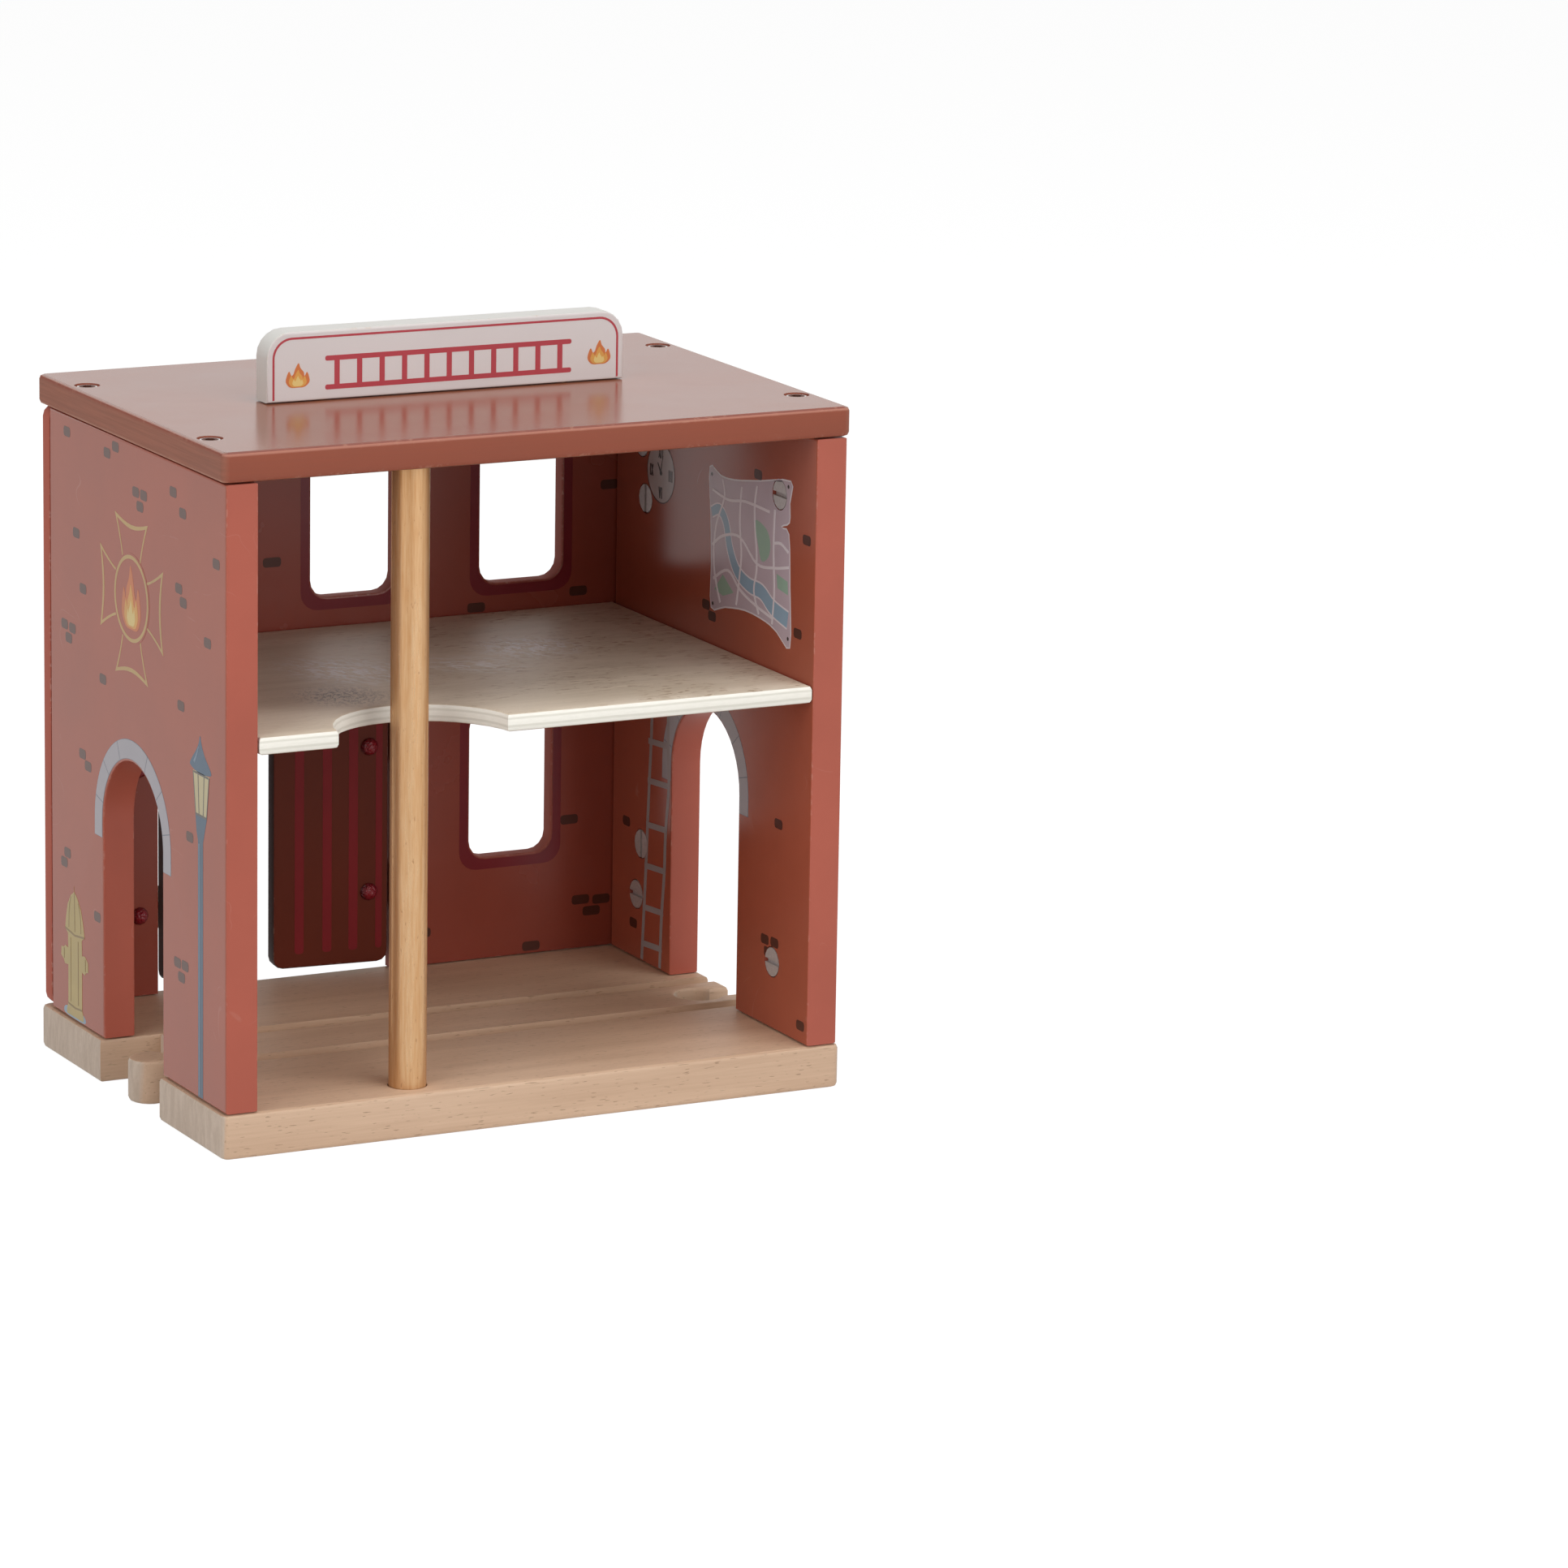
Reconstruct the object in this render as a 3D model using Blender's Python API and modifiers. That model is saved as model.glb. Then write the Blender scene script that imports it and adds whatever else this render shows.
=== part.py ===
"""Toy fire station: painted boards bolted together on a beech base with a length of railway track.

The origin is the centre of the base's underside. X runs from the left wall to the right wall, Y from the
open front to the back wall, and Z up. Sizes are in metres.
"""

import math

import bmesh
import bpy
from mathutils import Matrix, Vector

# Gaps and cuts
FIT = 0.0003  # between pieces that seat on each other
HINGE_FIT = 0.0002  # running gap inside a hinge
OVERRUN = 0.002  # how far a cut runs past the face that it opens on
WELD = 0.000003  # points closer than this are one point

# Base board, with the track cut into it
BASE_LENGTH = 0.180
BASE_DEPTH = 0.126
BASE_THICKNESS = 0.012
BASE_EDGE = 0.0012
BASE_CORNER = 0.002
GROOVE_SPACING = 0.026
GROOVE_WIDTH = 0.006
GROOVE_DEPTH = 0.003
NOTCH_WIDTH = 0.041
NOTCH_DEPTH = 0.0175
PEG_HEAD_DIAMETER = 0.0115
PEG_NECK_WIDTH = 0.006
SOCKET_DIAMETER = 0.013
SOCKET_SLOT_WIDTH = 0.0075
SOCKET_INSET = 0.011

# House: two side walls, the back wall on their rear edges, the roof on top
SIDE_MARGIN = 0.001  # base left showing beside a wall
FRONT_MARGIN = 0.0005  # base left showing before and behind the house
WALL_THICKNESS = 0.009
WALL_HEIGHT = 0.166  # from the base's top to the roof's underside
WALL_EDGE = 0.0006
BACK_THICKNESS = 0.005
BACK_CORNER = 0.003
ROOF_THICKNESS = 0.008
ROOF_EDGE = 0.0012
ROOF_CORNER = 0.002
ROOF_SIDE_OVERHANG = 0.001
ROOF_FRONT_OVERHANG = 0.0003
ROOF_REAR_OVERHANG = 0.001
ARCH_WIDTH = 0.0405
ARCH_SPRING = 0.0602  # height of the arch's straight sides above the base

# Doorway and windows of the back wall
DOORWAY_WIDTH = 0.070
DOORWAY_HEIGHT = 0.086
DOORWAY_PLACE = -0.14125  # its middle, as a share of the room's width from the room's middle
WINDOW_WIDTH = 0.025
WINDOW_HEIGHT = 0.042
WINDOW_CORNER = 0.005
WINDOW_SPACING = 0.31875  # of the upper windows, as a share of the room's width
UPPER_SILL = 0.0079  # above the upper floor
LOWER_SILL = 0.0295  # above the base
LOWER_WINDOW_SHIFT = 0.0022  # from the middle of the wall between the doorway and the right wall

# Upper floor and fire pole
FLOOR_THICKNESS = 0.005
FLOOR_EDGE = 0.0012
FLOOR_CLEARANCE = 0.0945  # from the base's top to the floor's underside
POLE_DIAMETER = 0.010
POLE_PLACE = -0.209375  # across the house, as a share of the room's width from the room's middle
POLE_INSET = 0.009  # behind the house's front
POLE_SEAT = 0.004
CUTOUT_RADIUS = 0.0242
CUTOUT_LEAD = 0.0025  # the cut-out's centre, before the floor's front edge

# Sign board
SIGN_WIDTH = 0.104
SIGN_HEIGHT = 0.019
SIGN_THICKNESS = 0.0075
SIGN_CORNER = 0.007
SIGN_EDGE = 0.0006
SIGN_SETBACK = 0.0595  # from the house's front

# Door leaves, which close in the thickness of the back wall
DOOR_CORNER = 0.003
DOOR_JAMB_GAP = 0.0007
DOOR_MEETING_GAP = 0.0017  # a leaf's inner corner swings past its closed place as it opens
DOOR_FOOT_GAP = 0.0027
DOOR_HEAD_GAP = 0.0015
LEFT_DOOR_OPEN = math.radians(35)
RIGHT_DOOR_OPEN = math.radians(5)

# Butt hinges on the back wall's outer face
HINGE_INSET = 0.0203  # from a leaf's end to the middle of its hinge
HINGE_HEIGHT = 0.012
HINGE_REACH = 0.0095  # from the axis to a plate's far edge
HINGE_CORNER = 0.001
PLATE_THICKNESS = 0.0008
KNUCKLE_DIAMETER = 0.0036
AXIS_RISE = 0.002  # from the back of the plates to the hinge's axis
PIN_DIAMETER = 0.0016
PIN_HEAD_DIAMETER = 0.0028
PIN_HEAD_HEIGHT = 0.0006
RIVET_REACH = 0.006  # from the axis to a rivet
RIVET_DIAMETER = 0.0022
RIVET_DOME_DIAMETER = 0.005
RIVET_DOME_HEIGHT = 0.0017
RIVET_TAIL_DIAMETER = 0.0038
RIVET_TAIL_HEIGHT = 0.0006

# Bolts and barrel nuts
BOLT_DIAMETER = 0.004
BOLT_HEAD_DIAMETER = 0.0064
BOLT_HEAD_HEIGHT = 0.0022
BOLT_HEAD_SINK = 0.0003  # from the board's face down to the bolt's head
BOLT_SOCKET_WIDTH = 0.0025  # across the flats
BOLT_SOCKET_DEPTH = 0.0014
BOLT_CHAMFER = 0.0005
BOLT_TAIL = 0.0045  # from the nut's middle to the bolt's end
BOLT_INSET = 0.021  # from the house's front or rear to a bolt through the base or the roof
BACK_BOLT_FOOT = 0.0337  # from the base's top to the lower back bolt
BACK_BOLT_SPACING = 0.0982
NUT_DIAMETER = 0.008
NUT_LENGTH = 0.007
NUT_SETBACK = 0.0187  # from the wall's edge to the nut's middle
NUT_SLOT_WIDTH = 0.0012
NUT_SLOT_DEPTH = 0.001

# Hidden dowels and pins
DOWEL_DIAMETER = 0.004
DOWEL_IN_SIGN = 0.009
DOWEL_IN_ROOF = 0.005
DOWEL_INSET = 0.017  # from the sign's end to a dowel's middle
FLOOR_PIN_DIAMETER = 0.0024
FLOOR_PIN_IN_WALL = 0.005
FLOOR_PIN_IN_FLOOR = 0.008
FLOOR_PIN_INSET = 0.0225  # from the house's front or rear

# Roundness: how many straight pieces a curve is made of
EDGE_STEPS = 2
CORNER_SAG = 0.000105  # the most that a rounded corner's straight pieces cut inside the true curve
DOME_STEPS = 3
ARCH_STEPS = 20
PEG_STEPS = 14
CUTOUT_STEPS = 16
POLE_SIDES = 32
HEAD_SIDES = 16
SMALL_SIDES = 12
BORE_SIDES = 10
SMOOTH_ANGLE = math.radians(40)

# Places that follow from the sizes
HOUSE_WIDTH = BASE_LENGTH - 2 * SIDE_MARGIN
HOUSE_FRONT = FRONT_MARGIN - BASE_DEPTH / 2
HOUSE_REAR = BASE_DEPTH / 2 - FRONT_MARGIN
BOLT_DEPTH = HOUSE_REAR - BOLT_INSET
FLOOR_PIN_DEPTH = HOUSE_REAR - FLOOR_PIN_INSET
WALL_REAR = HOUSE_REAR - BACK_THICKNESS
WALL_OUTSIDE = HOUSE_WIDTH / 2
WALL_MIDDLE = WALL_OUTSIDE - WALL_THICKNESS / 2
WALL_INSIDE = WALL_OUTSIDE - WALL_THICKNESS
ROOM_WIDTH = 2 * WALL_INSIDE
BASE_TOP = BASE_THICKNESS
ROOF_UNDERSIDE = BASE_TOP + WALL_HEIGHT
ROOF_TOP = ROOF_UNDERSIDE + ROOF_THICKNESS
FLOOR_UNDERSIDE = BASE_TOP + FLOOR_CLEARANCE
FLOOR_TOP = FLOOR_UNDERSIDE + FLOOR_THICKNESS
FLOOR_MIDDLE = FLOOR_UNDERSIDE + FLOOR_THICKNESS / 2
SIGN_MIDDLE = HOUSE_FRONT + SIGN_SETBACK + SIGN_THICKNESS / 2
POLE_ACROSS = POLE_PLACE * ROOM_WIDTH
POLE_DEPTH = HOUSE_FRONT + POLE_INSET
DOORWAY_CENTRE = DOORWAY_PLACE * ROOM_WIDTH
LEFT_JAMB = DOORWAY_CENTRE - DOORWAY_WIDTH / 2
RIGHT_JAMB = DOORWAY_CENTRE + DOORWAY_WIDTH / 2
LOWER_WINDOW_CENTRE = (RIGHT_JAMB + WALL_INSIDE) / 2 + LOWER_WINDOW_SHIFT
DOOR_FOOT = BASE_TOP + DOOR_FOOT_GAP
DOOR_HEAD = BASE_TOP + DOORWAY_HEIGHT - DOOR_HEAD_GAP
HINGE_HEIGHTS = {"lower": DOOR_FOOT + HINGE_INSET, "upper": DOOR_HEAD - HINGE_INSET}
PLATE_BACK = HOUSE_REAR + FIT
HINGE_AXIS = PLATE_BACK + AXIS_RISE
BACK_BOLT_HEIGHTS = (BASE_TOP + BACK_BOLT_FOOT, BASE_TOP + BACK_BOLT_FOOT + BACK_BOLT_SPACING)

# How a flat outline is turned: on its back, facing right or facing front
LYING = Matrix.Identity(4)
FACING_RIGHT = Matrix(((0, 0, 1, 0), (1, 0, 0, 0), (0, 1, 0, 0), (0, 0, 0, 1)))
FACING_FRONT = Matrix(((1, 0, 0, 0), (0, 0, -1, 0), (0, 1, 0, 0), (0, 0, 0, 1)))

for old in list(bpy.data.objects):
    bpy.data.objects.remove(old, do_unlink=True)

parts = bpy.data.collections.new("toy_fire_station")
cutters = bpy.data.collections.new("toy_fire_station_cutters")
bpy.context.scene.collection.children.link(parts)
bpy.context.scene.collection.children.link(cutters)


def finish(name, colour, roughness, metallic):
    """A Principled material from a linear colour."""
    material = bpy.data.materials.new(name)
    material.use_nodes = True
    shader = material.node_tree.nodes["Principled BSDF"]
    shader.inputs["Base Color"].default_value = (*colour, 1)
    shader.inputs["Roughness"].default_value = roughness
    shader.inputs["Metallic"].default_value = metallic
    return material


def smooth(mesh):
    mesh.shade_smooth()
    mesh.set_sharp_from_angle(angle=SMOOTH_ANGLE)


def add(name, mesh, material, collection=None):
    """A new object, with its own material, in the collection of the parts or in the one given."""
    piece = bpy.data.objects.new(name, mesh)
    (collection or parts).objects.link(piece)
    if material:
        mesh.materials.clear()
        mesh.materials.append(material)
    return piece


def cutter(name, mesh):
    piece = add(name, mesh, None, cutters)
    piece.hide_render = True
    piece.display_type = "WIRE"
    return piece


def cut(piece, tool, operation="DIFFERENCE"):
    boolean = piece.modifiers.new(tool.name, "BOOLEAN")
    boolean.operation = operation
    boolean.object = tool


def evaluated_mesh(piece):
    """The mesh of an object with its modifiers applied, in the object's place. The object itself goes."""
    bpy.context.view_layer.update()
    graph = bpy.context.evaluated_depsgraph_get()
    mesh = bpy.data.meshes.new_from_object(piece.evaluated_get(graph))
    mesh.transform(piece.matrix_world)
    bpy.data.objects.remove(piece, do_unlink=True)
    return mesh


def rounded(corners):
    """The points of a closed outline. Each corner is (x, y, radius), and zero leaves it sharp."""
    points = []
    for index, (x, y, radius) in enumerate(corners):
        corner = Vector((x, y))
        if not radius:
            points.append(corner)
            continue
        before = (Vector(corners[index - 1][:2]) - corner).normalized()
        after = (Vector(corners[(index + 1) % len(corners)][:2]) - corner).normalized()
        half = before.angle(after) / 2
        centre = corner + (before + after).normalized() * (radius / math.sin(half))
        start = corner + before * (radius / math.tan(half)) - centre
        end = corner + after * (radius / math.tan(half)) - centre
        sweep = math.atan2(start.x * end.y - start.y * end.x, start.dot(end))
        steps = math.ceil(abs(sweep) / (2 * math.acos(1 - CORNER_SAG / radius)))
        for step in range(steps + 1):
            points.append(centre + Matrix.Rotation(sweep * step / steps, 2) @ start)
    return points


def arc(x, y, radius, start, end, steps):
    """Sharp corners along an arc, from one angle to the other."""
    angles = [start + (end - start) * step / steps for step in range(steps + 1)]
    return [(x + radius * math.cos(angle), y + radius * math.sin(angle), 0) for angle in angles]


def board_mesh(name, outlines, thickness, edge):
    """A flat board with rounded edges. The first outline runs anticlockwise and any holes clockwise."""
    data = bpy.data.curves.new(name, "CURVE")
    data.dimensions = "2D"
    data.fill_mode = "BOTH"
    data.extrude = thickness / 2 - edge
    data.bevel_depth = edge
    data.bevel_resolution = EDGE_STEPS - 1
    data.offset = -edge
    for points in outlines:
        spline = data.splines.new("POLY")
        spline.points.add(len(points) - 1)
        for point, place in zip(spline.points, points):
            point.co = (*place, 0, 1)
        spline.use_cyclic_u = True
    curve = bpy.data.objects.new(name, data)
    parts.objects.link(curve)
    mesh = evaluated_mesh(curve)
    sewn = bmesh.new()
    sewn.from_mesh(mesh)
    bmesh.ops.remove_doubles(sewn, verts=sewn.verts, dist=WELD)
    if len(outlines) > 1:
        # Openings in line leave slivers between them, which become plain triangles
        bmesh.ops.beautify_fill(sewn, faces=sewn.faces, edges=sewn.edges)
    else:
        bmesh.ops.dissolve_degenerate(sewn, dist=WELD, edges=sewn.edges)
    sewn.to_mesh(mesh)
    sewn.free()
    bpy.data.curves.remove(data)
    smooth(mesh)
    return mesh


def board(name, outlines, thickness, edge, turned, place, material):
    """A board whose outlines are given in the house's own coordinates, moved to its place across them."""
    piece = add(name, board_mesh(name, outlines, thickness, edge), material)
    piece.matrix_world = Matrix.Translation(place) @ turned
    return piece


def rod_mesh(name, diameter, length, sides):
    """A rod on the Z axis, from zero up."""
    made = bmesh.new()
    bmesh.ops.create_cone(
        made,
        cap_ends=True,
        segments=sides,
        radius1=diameter / 2,
        radius2=diameter / 2,
        depth=length,
        matrix=Matrix.Translation((0, 0, length / 2)),
    )
    mesh = bpy.data.meshes.new(name)
    made.to_mesh(mesh)
    made.free()
    smooth(mesh)
    return mesh


def along(start, direction):
    """The matrix that stands what is on the Z axis at a point, along a direction."""
    turned = Vector(direction).to_track_quat("Z", "Y").to_matrix().to_4x4()
    return Matrix.Translation(start) @ turned


def drill(piece, name, diameter, depth, start, direction, sides=BORE_SIDES):
    """A round hole from a point on a face, which the cutter passes by the overrun, to its depth."""
    tool = cutter(name, rod_mesh(name, diameter, depth + OVERRUN, sides))
    tool.matrix_world = along(Vector(start) - Vector(direction) * OVERRUN, direction)
    cut(piece, tool)
    return tool


def mill(piece, name, low, high):
    """A straight-sided cut between two corners."""
    made = bmesh.new()
    bmesh.ops.create_cube(made, size=1)
    mesh = bpy.data.meshes.new(name)
    made.to_mesh(mesh)
    made.free()
    tool = cutter(name, mesh)
    size = Vector(high) - Vector(low)
    tool.matrix_world = Matrix.Translation((Vector(low) + Vector(high)) / 2) @ Matrix.Diagonal((*size, 1))
    cut(piece, tool)
    return tool


def turned_mesh(name, profile, sides):
    """A turned shape from its profile of (radius, height), which runs down the outer side."""
    mesh = bpy.data.meshes.new(name)
    made = bmesh.new()
    points = [made.verts.new((radius, 0, height)) for radius, height in profile]
    for upper, lower in zip(points, points[1:]):
        made.edges.new((upper, lower))
    made.to_mesh(mesh)
    made.free()
    piece = add(name, mesh, None)
    screw = piece.modifiers.new("turn", "SCREW")
    screw.steps = sides
    screw.render_steps = sides
    screw.use_merge_vertices = True
    screw.merge_threshold = WELD
    mesh = evaluated_mesh(piece)
    smooth(mesh)
    return mesh


# Finishes, one for each kind of surface
beech = finish("beech", (0.62, 0.42, 0.25), 0.45, 0)
brick_paint = finish("brick_paint", (0.33, 0.085, 0.055), 0.35, 0)
roof_paint = finish("roof_paint", (0.28, 0.10, 0.075), 0.2, 0)
back_paint = finish("back_paint", (0.24, 0.06, 0.045), 0.35, 0)
door_paint = finish("door_paint", (0.12, 0.035, 0.025), 0.35, 0)
sign_paint = finish("sign_paint", (0.80, 0.76, 0.74), 0.35, 0)
birch_ply = finish("birch_ply", (0.72, 0.70, 0.62), 0.5, 0)
gold_paint = finish("gold_paint", (0.62, 0.42, 0.18), 0.35, 0.6)
dome_paint = finish("dome_paint", (0.40, 0.05, 0.04), 0.3, 0)
bright_steel = finish("bright_steel", (0.66, 0.66, 0.65), 0.3, 1)
hinge_steel = finish("hinge_steel", (0.72, 0.70, 0.66), 0.35, 1)
dowel_wood = finish("dowel_wood", (0.66, 0.50, 0.33), 0.6, 0)


def make_base():
    """The beech board: its outline has the peg in its notch on the left and the socket on the right."""
    end = BASE_LENGTH / 2
    side = BASE_DEPTH / 2
    notch = NOTCH_WIDTH / 2
    notch_end = NOTCH_DEPTH - end
    neck = PEG_NECK_WIDTH / 2
    head = PEG_HEAD_DIAMETER / 2
    neck_angle = math.asin(neck / head)
    slot = SOCKET_SLOT_WIDTH / 2
    bore = SOCKET_DIAMETER / 2
    slot_angle = math.asin(slot / bore)
    full = 2 * math.pi
    outline = [
        (-end, -side, BASE_CORNER),
        (end, -side, BASE_CORNER),
        (end, -slot, 0),
        *arc(end - SOCKET_INSET, 0, bore, -slot_angle, slot_angle - full, PEG_STEPS),
        (end, slot, 0),
        (end, side, BASE_CORNER),
        (-end, side, BASE_CORNER),
        (-end, notch, 0),
        (notch_end, notch, 0),
        (notch_end, neck, 0),
        *arc(head - end, 0, head, neck_angle, full - neck_angle, PEG_STEPS),
        (notch_end, -neck, 0),
        (notch_end, -notch, 0),
        (-end, -notch, 0),
    ]
    place = (0, 0, BASE_THICKNESS / 2)
    base = board("base", [rounded(outline)], BASE_THICKNESS, BASE_EDGE, LYING, place, beech)
    for side_name, sign in (("front", -1), ("rear", 1)):
        inner = sign * (GROOVE_SPACING - GROOVE_WIDTH) / 2
        outer = sign * (GROOVE_SPACING + GROOVE_WIDTH) / 2
        low = (notch_end - OVERRUN, min(inner, outer), BASE_TOP - GROOVE_DEPTH)
        high = (end + OVERRUN, max(inner, outer), BASE_TOP + OVERRUN)
        mill(base, side_name + "_groove", low, high)
    seat = (POLE_ACROSS, POLE_DEPTH, BASE_TOP)
    drill(base, "pole_foot_hole", POLE_DIAMETER + 2 * FIT, POLE_SEAT + FIT, seat, (0, 0, -1), POLE_SIDES)
    return base


def make_wall(name, sign):
    """A side wall with its arch, which opens on the base in line with the track."""
    half_arch = ARCH_WIDTH / 2
    foot = BASE_TOP + FIT
    head = ROOF_UNDERSIDE - FIT
    rear = WALL_REAR - FIT
    outline = [
        (HOUSE_FRONT, foot, 0),
        (-half_arch, foot, 0),
        *arc(0, BASE_TOP + ARCH_SPRING, half_arch, math.pi, 0, ARCH_STEPS),
        (half_arch, foot, 0),
        (rear, foot, 0),
        (rear, head, 0),
        (HOUSE_FRONT, head, 0),
    ]
    place = (sign * WALL_MIDDLE, 0, 0)
    wall = board(name, [rounded(outline)], WALL_THICKNESS, WALL_EDGE, FACING_RIGHT, place, brick_paint)
    for end_name, end in (("front", -1), ("rear", 1)):
        start = (sign * WALL_INSIDE, end * FLOOR_PIN_DEPTH, FLOOR_MIDDLE)
        hole = name + "_floor_pin_hole_" + end_name
        drill(wall, hole, FLOOR_PIN_DIAMETER + 2 * FIT, FLOOR_PIN_IN_WALL + FIT, start, (sign, 0, 0))
    return wall


def window(centre, sill):
    """A window's outline, clockwise."""
    half = WINDOW_WIDTH / 2
    head = sill + WINDOW_HEIGHT
    corners = [(centre - half, sill), (centre - half, head), (centre + half, head), (centre + half, sill)]
    return rounded([(x, z, WINDOW_CORNER) for x, z in corners])


def make_back_wall():
    """The thinner board on the walls' rear edges, with the doorway and the windows."""
    foot = BASE_TOP + FIT
    head = ROOF_UNDERSIDE - FIT
    doorway_head = BASE_TOP + DOORWAY_HEIGHT
    outline = [
        (-WALL_OUTSIDE, foot, BACK_CORNER),
        (LEFT_JAMB, foot, 0),
        (LEFT_JAMB, doorway_head, DOOR_CORNER),
        (RIGHT_JAMB, doorway_head, DOOR_CORNER),
        (RIGHT_JAMB, foot, 0),
        (WALL_OUTSIDE, foot, BACK_CORNER),
        (WALL_OUTSIDE, head, BACK_CORNER),
        (-WALL_OUTSIDE, head, BACK_CORNER),
    ]
    outlines = [rounded(outline)]
    for column in (-1, 0, 1):
        outlines.append(window(column * WINDOW_SPACING * ROOM_WIDTH, FLOOR_TOP + UPPER_SILL))
    outlines.append(window(LOWER_WINDOW_CENTRE, BASE_TOP + LOWER_SILL))
    place = (0, HOUSE_REAR - BACK_THICKNESS / 2, 0)
    return board("back_wall", outlines, BACK_THICKNESS, WALL_EDGE, FACING_FRONT, place, back_paint)


def make_roof():
    side = WALL_OUTSIDE + ROOF_SIDE_OVERHANG
    front = HOUSE_FRONT - ROOF_FRONT_OVERHANG
    rear = HOUSE_REAR + ROOF_REAR_OVERHANG
    corners = [(-side, front), (side, front), (side, rear), (-side, rear)]
    outline = rounded([(x, y, ROOF_CORNER) for x, y in corners])
    place = (0, 0, ROOF_UNDERSIDE + ROOF_THICKNESS / 2)
    roof = board("roof", [outline], ROOF_THICKNESS, ROOF_EDGE, LYING, place, roof_paint)
    seat = (POLE_ACROSS, POLE_DEPTH, ROOF_UNDERSIDE)
    drill(roof, "pole_head_hole", POLE_DIAMETER + 2 * FIT, POLE_SEAT + FIT, seat, (0, 0, 1), POLE_SIDES)
    return roof


def make_upper_floor():
    """The plywood shelf, with the round cut-out in its front edge that the pole passes."""
    side = WALL_INSIDE - FIT
    rear = WALL_REAR - FIT
    centre = HOUSE_FRONT - CUTOUT_LEAD
    start = math.asin(CUTOUT_LEAD / CUTOUT_RADIUS)
    outline = [
        (-side, HOUSE_FRONT, 0),
        *arc(POLE_ACROSS, centre, CUTOUT_RADIUS, math.pi - start, start, CUTOUT_STEPS),
        (side, HOUSE_FRONT, 0),
        (side, rear, 0),
        (-side, rear, 0),
    ]
    place = (0, 0, FLOOR_MIDDLE)
    floor = board("upper_floor", [rounded(outline)], FLOOR_THICKNESS, FLOOR_EDGE, LYING, place, birch_ply)
    for sign in (-1, 1):
        for end in (-1, 1):
            pin = place_floor_pin(sign, end)
            start = (sign * side, end * FLOOR_PIN_DEPTH, FLOOR_MIDDLE)
            hole = pin.name + "_hole"
            depth = FLOOR_PIN_IN_FLOOR + FIT
            drill(floor, hole, FLOOR_PIN_DIAMETER + 2 * FIT, depth, start, (-sign, 0, 0))


def place_floor_pin(sign, end):
    """One of the four steel pins, half in a wall and half in the floor's edge."""
    side_name = "left" if sign < 0 else "right"
    end_name = "front" if end < 0 else "rear"
    length = FLOOR_PIN_IN_WALL + FLOOR_PIN_IN_FLOOR + FIT
    start = (sign * (WALL_INSIDE + FLOOR_PIN_IN_WALL), end * FLOOR_PIN_DEPTH, FLOOR_MIDDLE)
    name = side_name + "_" + end_name + "_floor_pin"
    pin = add(name, rod_mesh(name, FLOOR_PIN_DIAMETER, length, BORE_SIDES), bright_steel)
    pin.matrix_world = along(start, (-sign, 0, 0))
    return pin


def make_fire_pole():
    foot = BASE_TOP - POLE_SEAT
    length = ROOF_UNDERSIDE + POLE_SEAT - foot
    pole = add("fire_pole", rod_mesh("fire_pole", POLE_DIAMETER, length, POLE_SIDES), gold_paint)
    pole.location = (POLE_ACROSS, POLE_DEPTH, foot)


def make_sign(roof):
    """The sign board on the roof, with the two dowels that hold it."""
    half = SIGN_WIDTH / 2
    foot = ROOF_TOP + FIT
    head = ROOF_TOP + SIGN_HEIGHT
    outline = [(-half, foot, 0), (half, foot, 0), (half, head, SIGN_CORNER), (-half, head, SIGN_CORNER)]
    place = (0, SIGN_MIDDLE, 0)
    sign_board = board(
        "sign_board", [rounded(outline)], SIGN_THICKNESS, SIGN_EDGE, FACING_FRONT, place, sign_paint
    )
    for side_name, sign in (("left", -1), ("right", 1)):
        name = side_name + "_sign_dowel"
        across = sign * (SIGN_WIDTH / 2 - DOWEL_INSET)
        bottom = ROOF_TOP - DOWEL_IN_ROOF
        length = DOWEL_IN_ROOF + DOWEL_IN_SIGN
        dowel = add(name, rod_mesh(name, DOWEL_DIAMETER, length, BORE_SIDES), dowel_wood)
        dowel.location = (across, SIGN_MIDDLE, bottom)
        hole = DOWEL_DIAMETER + 2 * FIT
        on_roof = (across, SIGN_MIDDLE, ROOF_TOP)
        drill(roof, name + "_roof_hole", hole, DOWEL_IN_ROOF + FIT, on_roof, (0, 0, -1))
        drill(sign_board, name + "_sign_hole", hole, DOWEL_IN_SIGN + FIT, on_roof, (0, 0, 1))


def bolt_mesh(grip):
    """A bolt whose head lies on zero, its shank down the Z axis through the board to past the nut."""
    head = BOLT_HEAD_DIAMETER / 2
    shank = BOLT_DIAMETER / 2
    end = -(grip + BOLT_TAIL)
    profile = [
        (0, BOLT_HEAD_HEIGHT),
        (head - BOLT_CHAMFER, BOLT_HEAD_HEIGHT),
        (head, BOLT_HEAD_HEIGHT - BOLT_CHAMFER),
        (head, 0),
        (shank, 0),
        (shank, end),
        (0, end),
    ]
    bolt = add("bolt_blank", turned_mesh("bolt", profile, HEAD_SIDES), None)
    corner_width = BOLT_SOCKET_WIDTH / math.cos(math.pi / 6)
    top = (0, 0, BOLT_HEAD_HEIGHT)
    socket = drill(bolt, "bolt_socket", corner_width, BOLT_SOCKET_DEPTH, top, (0, 0, -1), 6)
    mesh = evaluated_mesh(bolt)
    bpy.data.objects.remove(socket, do_unlink=True)
    smooth(mesh)
    return mesh


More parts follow.
